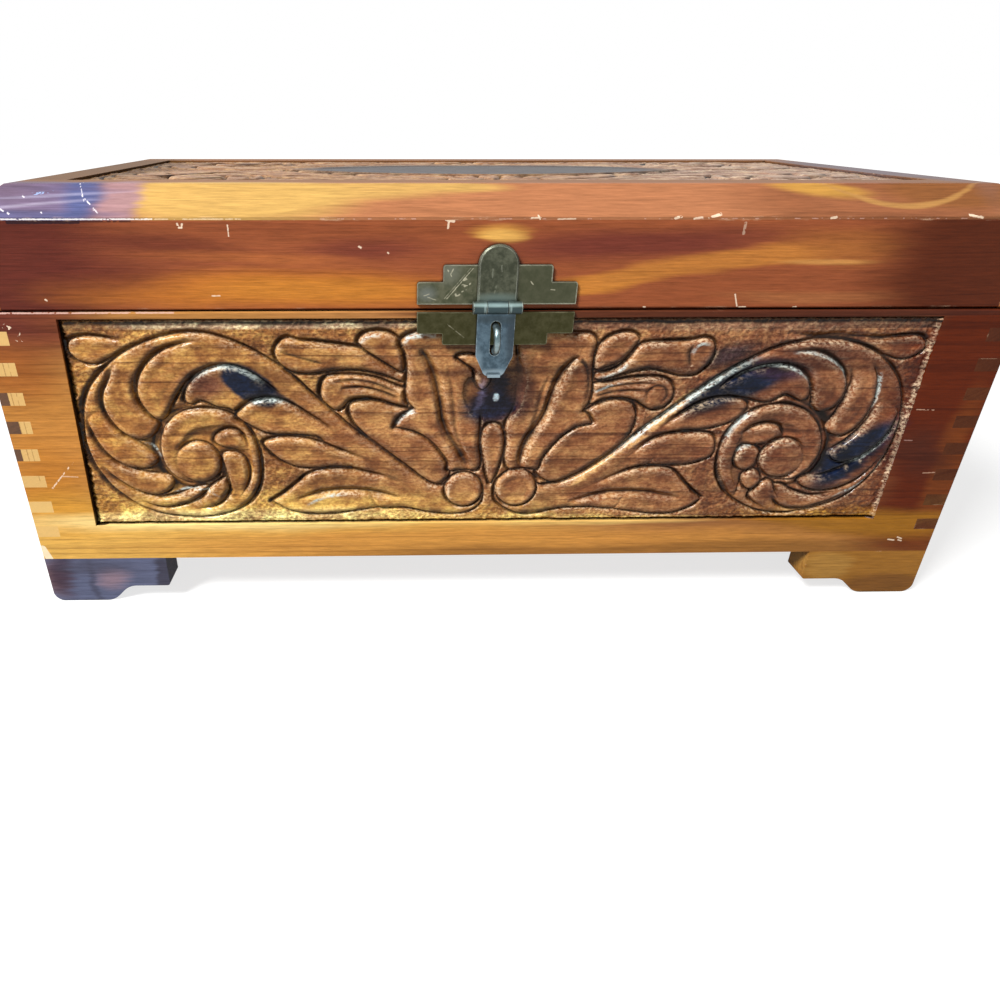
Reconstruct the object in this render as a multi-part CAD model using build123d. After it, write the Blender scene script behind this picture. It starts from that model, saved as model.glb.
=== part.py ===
from build123d import *
import os
from math import radians, sin, tan

# Keepsake box of cedar boards with finger-jointed corners: a carved front, a bevelled lid with a carved
# top, bracket feet, two butt hinges in a V groove along the back, and a brass hasp over a wire staple.
# Frame: +X to the right seen from the front, +Y to the back, +Z up. The origin is on the surface that
# the feet stand on, under the middle of the box with its hasp. Millimetres.

# ---- driving dimensions: carcass ----
width = 304.8
depth = 146.0
board_t = 7.4
body_h = 85.5
parting_gap = 0.4
arris = 0.5  # edge break along the seam between body and lid
end_finger = 4.2  # height of one finger of an end board
finger_pitch = 9.525
body_first_drop = 5.7  # from the body's top edge down to the first finger of an end board
body_fingers = 8
bottom_t = 5.0
bottom_rise = 4.0  # from the boards' lower edge up to the bottom board
groove_depth = 3.2

# ---- driving dimensions: lid ----
lid_rail_h = 24.9
lid_first_drop = 3.2
lid_fingers = 3
top_t = 8.5
top_land = 0.8  # upright edge below the bevel
bevel_run = 11.0
top_border = 12.0  # flat border around the carved field of the top
top_field_depth = 1.8

# ---- driving dimensions: carved front field ----
field_w = 260.0
field_h = 70.3
field_top_border = 2.1
field_depth = 2.6
field_left_lean = 2.4  # the hand-cut left edge runs this much further out at the bottom
land_hidden = 1.2  # how far the land under the staple plate stays inside the plate's outline

# ---- driving dimensions: feet ----
foot_h = 17.7
foot_len = 41.0
foot_t = 9.5
foot_pad = 17.9  # length that stands on the table, from the outer corner
foot_toe = 6.1  # height of the toe's underside above the table
foot_toe_len = 11.5
foot_heel_r = 3.6  # rounding of the outer lower corner
foot_toe_r = 1.0
glue_block = 10.0

# ---- driving dimensions: back hinges ----
hinge_x = 92.0
hinge_len = 25.4
hinge_inset = 2.6  # from the back face in to the hinge axis
hinge_leaf_t = 0.9
hinge_leaf_reach = 4.2  # from the axis to the leaf's edge
hinge_leaf_gap = 0.1  # between the two leaves of a closed hinge
barrel_r = 1.5
barrel_room = 0.35  # air between the barrel and the wood
knuckle_gap = 0.2
hinge_pin_r = 0.6
pin_play = 0.04
lid_stop_deg = 100.0  # opening at which the two back chamfers meet
stop_clearance = 0.15
hinge_nail_r = 0.45
hinge_nail_head_r = 0.85
hinge_nail_head_h = 0.4
hinge_nail_len = 6.5
hinge_nail_spacing = 8.6
nail_play = 0.03

# ---- driving dimensions: hasp and staple ----
hasp_x = -2.9  # the hasp sits a little left of the middle
plate_t = 0.8
plate_corner_r = 0.7
plate_half_w = 22.9  # outer step of both plates
plate_step_half_w = 15.5  # inner step of both plates
lid_plate_low = 1.7  # above the lid's lower edge
lid_plate_outer_h = 6.4
lid_plate_inner_h = 4.8
dome_r = 5.7
dome_chamfer = 0.4
body_plate_drop = 0.2  # below the body's top edge
body_plate_outer_h = 6.4
body_plate_inner_h = 3.4
leaf_t = 0.9
leaf_gap = 0.3  # between the swinging leaf and the plate behind it
hasp_barrel_r = 1.8
hasp_barrel_half = 7.0
hasp_mid_half = 2.85  # the swinging leaf's own knuckle
hasp_pin_r = 0.7
fixed_leaf_t = 1.0
hasp_axis_rise = 1.2  # axis above the lid's lower edge
leaf_half_w = 5.5
leaf_len = 21.0  # from the axis down to the tip
leaf_taper_from = 14.8
leaf_tip_half_w = 2.7
leaf_corner_r = 2.1  # rounds the taper's shoulders and the tip's corners
leaf_lip_half_w = 1.9
leaf_lip_t = 0.9
leaf_lip_out = 1.3
slot_top = 4.1  # below the axis
slot_len = 10.5
slot_half_w = 1.5
staple_wire_r = 0.95
staple_leg_half = 3.7
staple_reach = 6.5  # in front of its plate
staple_leg_in = 5.0  # into the front board
staple_play = 0.05
prong_w = 1.6
prong_t = 0.8
prong_len = 4.5  # beyond the back of the plate
prong_edge = 3.2  # from the plate's outer edge in to a prong

# ---- places worked out from the driving dimensions ----
front_reach = plate_t + staple_reach
middle_y = front_reach / 2
front_y = middle_y - depth / 2
back_y = middle_y + depth / 2
body_low = foot_h
body_top = body_low + body_h
lid_low = body_top + parting_gap
rail_top = lid_low + lid_rail_h
box_top = rail_top + top_t
seam_z = body_top + parting_gap / 2
axis_y = back_y - hinge_inset
field_top = body_top - field_top_border
field_low = field_top - field_h
field_floor = front_y + field_depth
hasp_axis_y = front_y - plate_t - leaf_gap - hasp_barrel_r
hasp_axis_z = lid_low + hasp_axis_rise
staple_z = hasp_axis_z - slot_top - slot_len / 2
lid_plate_z = lid_low + lid_plate_low
body_plate_z = body_top - body_plate_drop

parts = {}


def block(x, y, z):
    """A box from its lowest and highest x, y and z."""
    size = (x[1] - x[0], y[1] - y[0], z[1] - z[0])
    place = ((x[0] + x[1]) / 2, (y[0] + y[1]) / 2, (z[0] + z[1]) / 2)
    return Pos(*place) * Box(*size)


def rod_x(radius, x, y, z):
    """A round rod along X."""
    return Pos((x[0] + x[1]) / 2, y, z) * Rot(0, 90, 0) * Cylinder(radius, x[1] - x[0])


def rod_y(radius, x, y, z):
    """A round rod along Y."""
    return Pos(x, (y[0] + y[1]) / 2, z) * Rot(90, 0, 0) * Cylinder(radius, y[1] - y[0])


def mirror_x(shape):
    return mirror(shape, Plane.YZ)


def mirror_y(shape):
    """Mirrors about the carcass's own middle, which isn't at y = 0."""
    return mirror(shape, Plane.XZ.offset(-middle_y))


# ---- carcass: four finger-jointed boards around a bottom board ----
def finger_spans(low, high, first_drop, count):
    """The heights taken by an end board's fingers, from the top down."""
    spans = []
    for k in range(count):
        top = high - first_drop - k * finger_pitch
        if top > low:
            spans.append((max(low, top - end_finger), top))
    return spans


def long_board(y, z, spans):
    """A front or back board, notched at both ends for the end boards' fingers."""
    board = block((-width / 2, width / 2), y, z)
    for span in spans:
        for x in ((-width / 2, -width / 2 + board_t), (width / 2 - board_t, width / 2)):
            board -= block(x, y, span)
    return board


def end_board(x, z, spans):
    """An end board between the long boards, with fingers that pass through them."""
    board = block(x, (front_y + board_t, back_y - board_t), z)
    for span in spans:
        board += block(x, (front_y, back_y), span)
    return board


front = (front_y, front_y + board_t)
back = (back_y - board_t, back_y)
left = (-width / 2, -width / 2 + board_t)
right = (width / 2 - board_t, width / 2)
body_z = (body_low, body_top)
body_spans = finger_spans(body_low, body_top, body_first_drop, body_fingers)
bottom_x = width / 2 - board_t + groove_depth
bottom_y = depth / 2 - board_t + groove_depth
bottom_z = (body_low + bottom_rise, body_low + bottom_rise + bottom_t)
parts["bottom_board"] = block(
    (-bottom_x, bottom_x), (middle_y - bottom_y, middle_y + bottom_y), bottom_z
)
parts["front_board"] = long_board(front, body_z, body_spans)
parts["back_board"] = long_board(back, body_z, body_spans)
parts["left_end_board"] = end_board(left, body_z, body_spans)
parts["right_end_board"] = end_board(right, body_z, body_spans)
body_boards = ("front_board", "back_board", "left_end_board", "right_end_board")
for name in body_boards:
    parts[name] -= parts["bottom_board"]

# ---- lid: the sawn-off top of the same carcass, with a bevelled board glued on ----
rail_z = (lid_low, rail_top)
lid_spans = finger_spans(lid_low, rail_top, lid_first_drop, lid_fingers)
parts["lid_front_rail"] = long_board(front, rail_z, lid_spans)
parts["lid_back_rail"] = long_board(back, rail_z, lid_spans)
parts["lid_left_rail"] = end_board(left, rail_z, lid_spans)
parts["lid_right_rail"] = end_board(right, rail_z, lid_spans)
lid_rails = ("lid_front_rail", "lid_back_rail", "lid_left_rail", "lid_right_rail")


def frustum(z, low_inset, high_inset):
    """The carcass's outline from z[0] to z[1], drawn in by a different amount at each end."""
    faces = []
    for height, inset in zip(z, (low_inset, high_inset)):
        outline = Rectangle(width - 2 * inset, depth - 2 * inset)
        faces.append(Pos(0, middle_y, height) * outline)
    return loft(faces, ruled=True)


lid_top = block((-width / 2, width / 2), (front_y, back_y), (rail_top, rail_top + top_land))
lid_top += frustum((rail_top + top_land, box_top), 0, bevel_run)
top_field_x = width / 2 - bevel_run - top_border
top_field_y = depth / 2 - bevel_run - top_border
lid_top -= block(
    (-top_field_x, top_field_x),
    (middle_y - top_field_y, middle_y + top_field_y),
    (box_top - top_field_depth, box_top),
)
parts["lid_top"] = lid_top

# ---- seam: a small edge break all round, and the V groove along the back that stops the lid ----
over = 1.0  # how far a cutter reaches past the wood
outside_x = (-width / 2 - over, width / 2 + over)
outside_y = (front_y - over, back_y + over)
body_arris = block(outside_x, outside_y, (body_top - arris, body_top)) - frustum(
    (body_top - arris, body_top), 0, arris
)
lid_arris = block(outside_x, outside_y, (lid_low, lid_low + arris)) - frustum(
    (lid_low, lid_low + arris), arris, 0
)
stop_slope = radians(lid_stop_deg / 2)
groove_apex_y = axis_y - stop_clearance / sin(stop_slope)
groove_rise = (outside_y[1] - groove_apex_y) * tan(stop_slope)
groove_outline = Polyline(
    (outside_x[0], groove_apex_y, seam_z),
    (outside_x[0], outside_y[1], seam_z + groove_rise),
    (outside_x[0], outside_y[1], seam_z - groove_rise),
    close=True,
)
back_groove = extrude(make_face(groove_outline), amount=outside_x[1] - outside_x[0], dir=(1, 0, 0))
for name in body_boards:
    parts[name] = parts[name] - body_arris - back_groove
for name in lid_rails:
    parts[name] = parts[name] - lid_arris - back_groove

# ---- carved field of the front board: a sunk ground with a land left for the staple plate ----
field_outline = Polyline(
    (-field_w / 2, front_y, field_top),
    (field_w / 2, front_y, field_top),
    (field_w / 2, front_y, field_low),
    (-field_w / 2 - field_left_lean, front_y, field_low),
    close=True,
)
field = extrude(make_face(field_outline), amount=field_depth, dir=(0, 1, 0))
for half_w, drop in (
    (plate_half_w, body_plate_outer_h),
    (plate_step_half_w, body_plate_outer_h + body_plate_inner_h),
):
    land_half_w = half_w - land_hidden
    land_z = (body_plate_z - drop + land_hidden, field_top)
    field -= block((hasp_x - land_half_w, hasp_x + land_half_w), (front_y, field_floor), land_z)
parts["front_board"] -= field


# ---- feet: at each corner two sawn brackets, mitred together, with a glue block behind ----
def foot_outline():
    """Bracket from its outer corner at x = 0, standing on z = 0, with an ogee up to the toe."""
    toe_from = foot_len - foot_toe_len
    ogee_mid = (foot_pad + toe_from) / 2
    with BuildSketch(Plane.XZ) as sketch:
        with BuildLine():
            Line((0, foot_h), (0, 0))
            Line((0, 0), (foot_pad, 0))
            Bezier((foot_pad, 0), (ogee_mid, 0), (ogee_mid, foot_toe), (toe_from, foot_toe))
            Line((toe_from, foot_toe), (foot_len, foot_toe))
            Line((foot_len, foot_toe), (foot_len, foot_h))
            Line((foot_len, foot_h), (0, foot_h))
        make_face()
        heel = sketch.vertices().sort_by_distance((0, 0, 0))[0]
        fillet(heel, foot_heel_r)
        toe = sketch.vertices().sort_by_distance((foot_len, 0, foot_toe))[0]
        fillet(toe, foot_toe_r)
    return sketch.sketch


def foot_bracket():
    """A bracket along +X with its outer face at y = 0, mitred at 45 degrees at the corner."""
    bracket = extrude(foot_outline(), amount=foot_t, dir=(0, 1, 0))
    far = foot_t + over
    mitre = Polyline((0, 0), (-over, 0), (-over, far), (far, far), close=True)
    return bracket - extrude(make_face(mitre), amount=foot_h)


corner = Pos(-width / 2, front_y, 0)
face_bracket = corner * foot_bracket()
# the return is the same bracket, reflected in the corner's mitre
return_bracket = corner * mirror(foot_bracket(), Plane((0, 0, 0), x_dir=(0, 0, 1), z_dir=(1, -1, 0)))
block_high = body_low + bottom_rise
near = (foot_t, foot_t + glue_block)
corner_block = corner * block(near, near, (foot_toe, block_high))
for side, mirror_side in (("left", lambda s: s), ("right", mirror_x)):
    for row, mirror_row in (("front", lambda s: s), ("back", mirror_y)):
        parts[f"{row}_{side}_foot_face"] = mirror_row(mirror_side(face_bracket))
        parts[f"{row}_{side}_foot_return"] = mirror_row(mirror_side(return_bracket))
blocks = [corner_block, mirror_x(corner_block), mirror_y(corner_block), mirror_y(mirror_x(corner_block))]
parts["foot_glue_blocks"] = Compound(children=blocks)


# ---- back hinges: two small butt hinges let into the edges, with their barrels in the V groove ----
knuckle_half = hinge_len / 6
on_base = (Align.CENTER, Align.CENTER, Align.MIN)


def hinge_leaf(side, own_knuckles, other_knuckles):
    """One leaf about the axis at the origin; side is 1 for the lid's leaf above and -1 for the body's."""
    flat = (hinge_leaf_gap / 2, hinge_leaf_gap / 2 + hinge_leaf_t)
    z = flat if side > 0 else (-flat[1], -flat[0])
    leaf = block((-hinge_len / 2, hinge_len / 2), (-hinge_leaf_reach, 0), z)
    for x in other_knuckles:
        leaf -= rod_x(barrel_r + knuckle_gap, (x[0] - knuckle_gap / 2, x[1] + knuckle_gap / 2), 0, 0)
        leaf -= block((x[0] - knuckle_gap / 2, x[1] + knuckle_gap / 2), (-barrel_r, barrel_r), z)
    for x in own_knuckles:
        leaf += rod_x(barrel_r, (x[0] + knuckle_gap / 2, x[1] - knuckle_gap / 2), 0, 0)
    leaf -= rod_x(hinge_pin_r + pin_play, (-hinge_len, hinge_len), 0, 0)
    for nail in hinge_nails(side, nail_play):
        leaf -= nail
    return leaf


def hinge_nails(side, play):
    """Three countersunk nails up into the lid or down into the body, from the leaf's inner face."""
    face = side * hinge_leaf_gap / 2
    y = -(barrel_r + hinge_leaf_reach) / 2
    nails = []
    for k in (-1, 0, 1):
        x = k * hinge_nail_spacing
        head = Cone(hinge_nail_head_r + play, hinge_nail_r + play, hinge_nail_head_h, align=on_base)
        shank = Cylinder(hinge_nail_r + play, hinge_nail_len + play, align=on_base)
        nail = head + shank
        if side < 0:
            nail = Rot(180, 0, 0) * nail
        nails.append(Pos(x, y, face) * nail)
    return nails


outer_knuckles = [(-3 * knuckle_half, -knuckle_half), (knuckle_half, 3 * knuckle_half)]
mid_knuckle = [(-knuckle_half, knuckle_half)]
hinge_room = knuckle_gap
for side, x in (("left", -hinge_x), ("right", hinge_x)):
    at = Pos(x, axis_y, seam_z)
    span = (x - hinge_len / 2 - hinge_room, x + hinge_len / 2 + hinge_room)
    barrel_pocket = rod_x(barrel_r + barrel_room, span, axis_y, seam_z)
    leaf_x = (x - hinge_len / 2, x + hinge_len / 2)
    leaf_y = (axis_y - hinge_leaf_reach, axis_y)
    leaf_far = hinge_leaf_gap / 2 + hinge_leaf_t
    mortise = block(leaf_x, leaf_y, (seam_z - leaf_far, seam_z + leaf_far))
    for part, name, leaf_side, own, other in (
        ("back_board", "body", -1, outer_knuckles, mid_knuckle),
        ("lid_back_rail", "lid", 1, mid_knuckle, outer_knuckles),
    ):
        parts[f"{side}_hinge_{name}_leaf"] = at * hinge_leaf(leaf_side, own, other)
        parts[f"{side}_hinge_{name}_nails"] = Compound(
            children=[at * nail for nail in hinge_nails(leaf_side, 0)]
        )
        parts[part] = parts[part] - barrel_pocket - mortise
        for hole in hinge_nails(leaf_side, nail_play):
            parts[part] -= at * hole
    parts[f"{side}_hinge_pin"] = rod_x(hinge_pin_r, leaf_x, axis_y, seam_z)


# ---- hasp: a stepped plate and a domed leaf on the lid, and a slotted leaf that swings over the staple ----
def stepped_plate(base_z, way, outer_h, inner_h):
    """A two-step plate against the front face, growing up (way 1) or down (way -1) from base_z."""
    outer = (base_z, base_z + way * outer_h)
    inner = (base_z, base_z + way * (outer_h + inner_h))
    y = (front_y - plate_t, front_y)
    plate = block((hasp_x - plate_half_w, hasp_x + plate_half_w), y, sorted(outer))
    plate += block((hasp_x - plate_step_half_w, hasp_x + plate_step_half_w), y, sorted(inner))
    corners = plate.edges().filter_by(Axis.Y).filter_by(lambda e: is_free_corner(e, base_z, outer[1]))
    return fillet(corners, plate_corner_r)


def is_free_corner(edge, base_z, step_z):
    """False along the base and at the notch where the inner step rises from the outer one."""
    point = edge.center()
    at_notch = abs(abs(point.X - hasp_x) - plate_step_half_w) < plate_corner_r
    at_notch = at_notch and abs(point.Z - step_z) < plate_corner_r
    return abs(point.Z - base_z) > plate_corner_r and not at_notch


def prongs(mid_z):
    """Two flat spikes bent back from a plate's outer ends, which hold it in the wood."""
    y = (front_y - plate_t, front_y + prong_len)
    z = (mid_z - prong_w / 2, mid_z + prong_w / 2)
    pair = []
    for side in (-1, 1):
        x = hasp_x + side * (plate_half_w - prong_edge)
        pair.append(block((x - prong_t / 2, x + prong_t / 2), y, z))
    return pair[0] + pair[1]


lid_prongs = prongs(lid_plate_z + lid_plate_outer_h / 2)
body_prongs = prongs(body_plate_z - body_plate_outer_h / 2)
parts["lid_front_rail"] -= lid_prongs
parts["front_board"] -= body_prongs
lid_plate = stepped_plate(lid_plate_z, 1, lid_plate_outer_h, lid_plate_inner_h) + lid_prongs
body_plate = stepped_plate(body_plate_z, -1, body_plate_outer_h, body_plate_inner_h) + body_prongs

# the domed leaf lies on the lid's plate and ends in the two outer knuckles
dome_z = lid_plate_z + lid_plate_outer_h + lid_plate_inner_h
fixed_y = (front_y - plate_t - fixed_leaf_t, front_y - plate_t)
barrel_x = (hasp_x - hasp_barrel_half, hasp_x + hasp_barrel_half)
middle_x = (hasp_x - hasp_mid_half, hasp_x + hasp_mid_half)
fixed_leaf = block((hasp_x - dome_r, hasp_x + dome_r), fixed_y, (hasp_axis_z, dome_z))
fixed_leaf += rod_y(dome_r, hasp_x, fixed_y, dome_z)
dome_face = fixed_leaf.faces().sort_by(Axis.Y)[0]
dome_rim = dome_face.edges().filter_by(lambda e: e.center().Z > hasp_axis_z + hasp_barrel_r)
fixed_leaf = chamfer(dome_rim, dome_chamfer)
lid_plate += rod_y(dome_r, hasp_x, (front_y - plate_t, front_y), dome_z)
clear_x = (middle_x[0] - knuckle_gap, middle_x[1] + knuckle_gap)
clear_r = hasp_barrel_r + knuckle_gap
for x in ((barrel_x[0], clear_x[0]), (clear_x[1], barrel_x[1])):
    fixed_leaf += rod_x(hasp_barrel_r, x, hasp_axis_y, hasp_axis_z)
fixed_leaf -= rod_x(clear_r, clear_x, hasp_axis_y, hasp_axis_z)
fixed_leaf -= rod_x(hasp_pin_r + pin_play, barrel_x, hasp_axis_y, hasp_axis_z)

# the swinging leaf hangs from the middle knuckle: parallel sides, a tapered tip, a lip and a slot
leaf_back = hasp_axis_y + hasp_barrel_r
leaf_y = (leaf_back - leaf_t, leaf_back)
leaf_top = hasp_axis_z - hasp_barrel_r - knuckle_gap
tip_z = hasp_axis_z - leaf_len
taper_z = hasp_axis_z - leaf_taper_from
leaf_outline = Polyline(
    (hasp_x - leaf_half_w, leaf_back, leaf_top),
    (hasp_x - leaf_half_w, leaf_back, taper_z),
    (hasp_x - leaf_tip_half_w, leaf_back, tip_z),
    (hasp_x + leaf_tip_half_w, leaf_back, tip_z),
    (hasp_x + leaf_half_w, leaf_back, taper_z),
    (hasp_x + leaf_half_w, leaf_back, leaf_top),
    close=True,
)
swing_leaf = extrude(make_face(leaf_outline), amount=leaf_t, dir=(0, -1, 0))
low_corners = swing_leaf.edges().filter_by(Axis.Y).filter_by(lambda e: e.center().Z < leaf_top - over)
swing_leaf = fillet(low_corners, leaf_corner_r)
swing_leaf += block(middle_x, leaf_y, (leaf_top - over, hasp_axis_z))
swing_leaf += rod_x(hasp_barrel_r, middle_x, hasp_axis_y, hasp_axis_z)
lip_x = (hasp_x - leaf_lip_half_w, hasp_x + leaf_lip_half_w)
swing_leaf += block(lip_x, (leaf_y[0] - leaf_lip_out, leaf_back), (tip_z, tip_z + leaf_lip_t))
slot_z = (hasp_axis_z - slot_top - slot_len + slot_half_w, hasp_axis_z - slot_top - slot_half_w)
slot_y = (leaf_y[0] - over, leaf_y[1] + over)
slot_x = (hasp_x - slot_half_w, hasp_x + slot_half_w)
slot = block(slot_x, slot_y, slot_z) + rod_y(slot_half_w, hasp_x, slot_y, slot_z[0])
slot += rod_y(slot_half_w, hasp_x, slot_y, slot_z[1])
swing_leaf -= slot
swing_leaf -= rod_x(hasp_pin_r + pin_play, middle_x, hasp_axis_y, hasp_axis_z)
parts["hasp_fixed_leaf"] = fixed_leaf
parts["hasp_swing_leaf"] = swing_leaf
parts["hasp_pin"] = rod_x(hasp_pin_r, barrel_x, hasp_axis_y, hasp_axis_z)

# the staple is bent wire, its two legs one above the other, through its plate into the front board
arch_y = front_y - plate_t - (staple_reach - staple_leg_half - staple_wire_r)


def staple(wire_r):
    legs_y = (arch_y, front_y + staple_leg_in)
    legs = [rod_y(wire_r, hasp_x, legs_y, staple_z + k * staple_leg_half) for k in (-1, 1)]
    ring = Pos(hasp_x, arch_y, staple_z) * Rot(0, 90, 0) * Torus(staple_leg_half, wire_r)
    arch = ring & block(
        (hasp_x - 2 * wire_r, hasp_x + 2 * wire_r),
        (arch_y - 2 * staple_leg_half, arch_y),
        (staple_z - 2 * staple_leg_half, staple_z + 2 * staple_leg_half),
    )
    return arch + legs[0] + legs[1]


parts["staple"] = staple(staple_wire_r)
staple_holes = staple(staple_wire_r + staple_play)
parts["front_board"] -= staple_holes
parts["staple_plate"] = body_plate - staple_holes
parts["lid_hasp_plate"] = lid_plate

os.makedirs("parts", exist_ok=True)
for name, shape in parts.items():
    export_step(shape, f"parts/{name}.step")
print(len(parts), "nodes; hinge axis y", round(axis_y, 3), "z", round(seam_z, 3))
print("hasp axis y", round(hasp_axis_y, 3), "z", round(hasp_axis_z, 3), "x", hasp_x)
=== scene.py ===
import math

import bpy
import numpy as np
from mathutils import Matrix, Vector


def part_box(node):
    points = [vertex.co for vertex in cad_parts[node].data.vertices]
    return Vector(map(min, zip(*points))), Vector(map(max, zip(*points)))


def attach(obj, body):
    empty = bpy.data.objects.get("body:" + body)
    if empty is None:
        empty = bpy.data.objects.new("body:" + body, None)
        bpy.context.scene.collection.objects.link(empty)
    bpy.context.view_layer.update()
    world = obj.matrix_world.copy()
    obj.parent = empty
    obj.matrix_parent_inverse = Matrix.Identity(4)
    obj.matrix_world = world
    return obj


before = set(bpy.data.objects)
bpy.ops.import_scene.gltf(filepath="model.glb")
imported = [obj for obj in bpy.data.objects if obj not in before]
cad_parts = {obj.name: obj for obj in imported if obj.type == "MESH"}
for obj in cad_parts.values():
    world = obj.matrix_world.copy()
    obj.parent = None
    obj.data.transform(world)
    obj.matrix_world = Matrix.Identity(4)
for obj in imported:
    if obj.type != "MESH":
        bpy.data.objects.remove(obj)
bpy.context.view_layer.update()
scene = bpy.context.scene
MM = 0.001


# ---- camera ----
# A close wide view from just above the lid, left of the middle and tipped down. The part of the view
# that is kept lies off the lens's own middle, so the lens is shifted.

FRAME_SIDE = 1000  # pixels
LENS_PIXELS = 672.74
LENS_MIDDLE = (409.8, 438.0)  # pixels from the frame's upper left corner
EYE = Vector((-31.45, -261.05, 153.78)) * MM
TIPPED_DOWN, TURNED, ROLLED = 0.4444, 0.019, 0.0015

forward = Vector((
    math.sin(TURNED) * math.cos(TIPPED_DOWN),
    math.cos(TURNED) * math.cos(TIPPED_DOWN),
    -math.sin(TIPPED_DOWN),
))
level_right = Vector((math.cos(TURNED), -math.sin(TURNED), 0))
level_up = level_right.cross(forward)
right = math.cos(ROLLED) * level_right + math.sin(ROLLED) * level_up
up = math.cos(ROLLED) * level_up - math.sin(ROLLED) * level_right
lens = bpy.data.cameras.new("camera")
lens.sensor_width = 36
lens.lens = lens.sensor_width * LENS_PIXELS / FRAME_SIDE
lens.shift_x = 0.5 - LENS_MIDDLE[0] / FRAME_SIDE
lens.shift_y = LENS_MIDDLE[1] / FRAME_SIDE - 0.5
lens.clip_start = 0.01
camera = bpy.data.objects.new("camera", lens)
camera.matrix_world = Matrix.Translation(EYE) @ Matrix((right, up, -forward)).transposed().to_4x4()
scene.collection.objects.link(camera)
scene.camera = camera


# ---- floor and light ----
# A pale floor, a soft lamp high on the left and a wide weak one on the right.
# The camera sees the room as white, and the floor keeps the shadow under the feet.

WHITE = (1, 1, 1, 1)
PALE_PAPER = (0.34, 0.34, 0.335, 1)
ROOM_LIGHT = 0.22
FLOOR_HALF = 3.0  # metres
FLOOR_LIFT = 0.74  # near the box, where the floor shows its shadow
CLEAR_FLOOR = (0.35, 0.95)  # metres from the box over which the floor fades into the white room
LAMP_AIM = (0, 0, 0.08)  # just above the middle of the box


def add(tree, kind, inputs=None, **settings):
    """One shader node. inputs gives each socket, by name or number, a value or another node's socket."""
    made = tree.nodes.new("ShaderNode" + kind)
    for name, value in settings.items():
        setattr(made, name, value)
    for socket, value in (inputs or {}).items():
        if isinstance(value, bpy.types.NodeSocket):
            tree.links.new(value, made.inputs[socket])
        else:
            made.inputs[socket].default_value = value
    return made


def maths(tree, operation, *values, clamp=False):
    return add(tree, "Math", dict(enumerate(values)), operation=operation, use_clamp=clamp).outputs[0]


def new_material(name):
    """An empty material's tree and its output node."""
    material = bpy.data.materials.new(name)
    material.use_nodes = True
    material.node_tree.nodes.clear()
    return material, material.node_tree, add(material.node_tree, "OutputMaterial")


def seen_rays(tree):
    """1 for rays that show the room to the camera, straight or by way of metal and varnish."""
    path = add(tree, "LightPath")
    shown = maths(tree, "MAXIMUM", path.outputs["Is Camera Ray"], path.outputs["Is Transmission Ray"])
    return maths(tree, "MAXIMUM", shown, path.outputs["Is Glossy Ray"])


floor_mesh = bpy.data.meshes.new("floor")
floor_mesh.from_pydata(
    [(x * FLOOR_HALF, y * FLOOR_HALF, 0) for x, y in ((-1, -1), (1, -1), (1, 1), (-1, 1))],
    [], [(0, 1, 2, 3)],
)
floor = bpy.data.objects.new("floor", floor_mesh)
scene.collection.objects.link(floor)
paper, tree, out = new_material("pale_paper")
matt = add(tree, "BsdfDiffuse", {"Color": PALE_PAPER})
away = add(tree, "VectorMath", {0: add(tree, "NewGeometry").outputs["Position"]}, operation="LENGTH")
lift = add(tree, "MapRange", {
    0: away.outputs["Value"], 1: CLEAR_FLOOR[0], 2: CLEAR_FLOOR[1], 3: FLOOR_LIFT, 4: 1.0,
})
lit = maths(tree, "MULTIPLY", seen_rays(tree), lift.outputs[0])
glow = add(tree, "Emission", {"Color": WHITE, "Strength": lit})
both = add(tree, "AddShader", {0: matt.outputs[0], 1: glow.outputs[0]})
tree.links.new(both.outputs[0], out.inputs["Surface"])
floor_mesh.materials.append(paper)

room = bpy.data.worlds.new("room")
room.use_nodes = True
scene.world = room
tree = room.node_tree
tree.nodes.clear()
strength = maths(tree, "MAXIMUM", seen_rays(tree), ROOM_LIGHT)
sky = add(tree, "Background", {"Color": WHITE, "Strength": strength})
tree.links.new(sky.outputs[0], add(tree, "OutputWorld").inputs["Surface"])


def soft_lamp(name, place, aim, size, power):
    """A square lamp of that size in metres and power in watts, facing aim."""
    light = bpy.data.lights.new(name, "AREA")
    light.size = size
    light.energy = power
    lamp = bpy.data.objects.new(name, light)
    lamp.location = place
    lamp.rotation_euler = (Vector(aim) - Vector(place)).to_track_quat("-Z", "Y").to_euler()
    scene.collection.objects.link(lamp)


soft_lamp("key_lamp", (-0.78, -0.66, 1.12), LAMP_AIM, size=0.38, power=36)
soft_lamp("fill_lamp", (1.10, -1.00, 0.50), LAMP_AIM, size=0.80, power=1.2)

scene.view_settings.view_transform = "Standard"


# ---- carcass: four finger-jointed boards and a bottom ----
# Red cedar, sawn thin and glued up with finger joints at the corners, then varnished a warm orange.
# Knots, purple heartwood and pale sapwood run through it. Inside it was left bare.

ANY = 1000.0  # a zone's reach, in mm, along an axis that it doesn't end on


def effect(name, inputs, outputs):
    """A new shader group. A default's length says what it is: one number, a vector or a colour."""
    group = bpy.data.node_groups.new(name, "ShaderNodeTree")
    kinds = {1: "NodeSocketFloat", 3: "NodeSocketVector", 4: "NodeSocketColor"}
    for way, sockets in (("INPUT", inputs), ("OUTPUT", outputs)):
        for socket, default in sockets.items():
            size = len(default) if hasattr(default, "__len__") else 1
            made = group.interface.new_socket(socket, in_out=way, socket_type=kinds[size])
            made.default_value = default
    return group, group.nodes.new("NodeGroupInput").outputs, group.nodes.new("NodeGroupOutput").inputs


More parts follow.
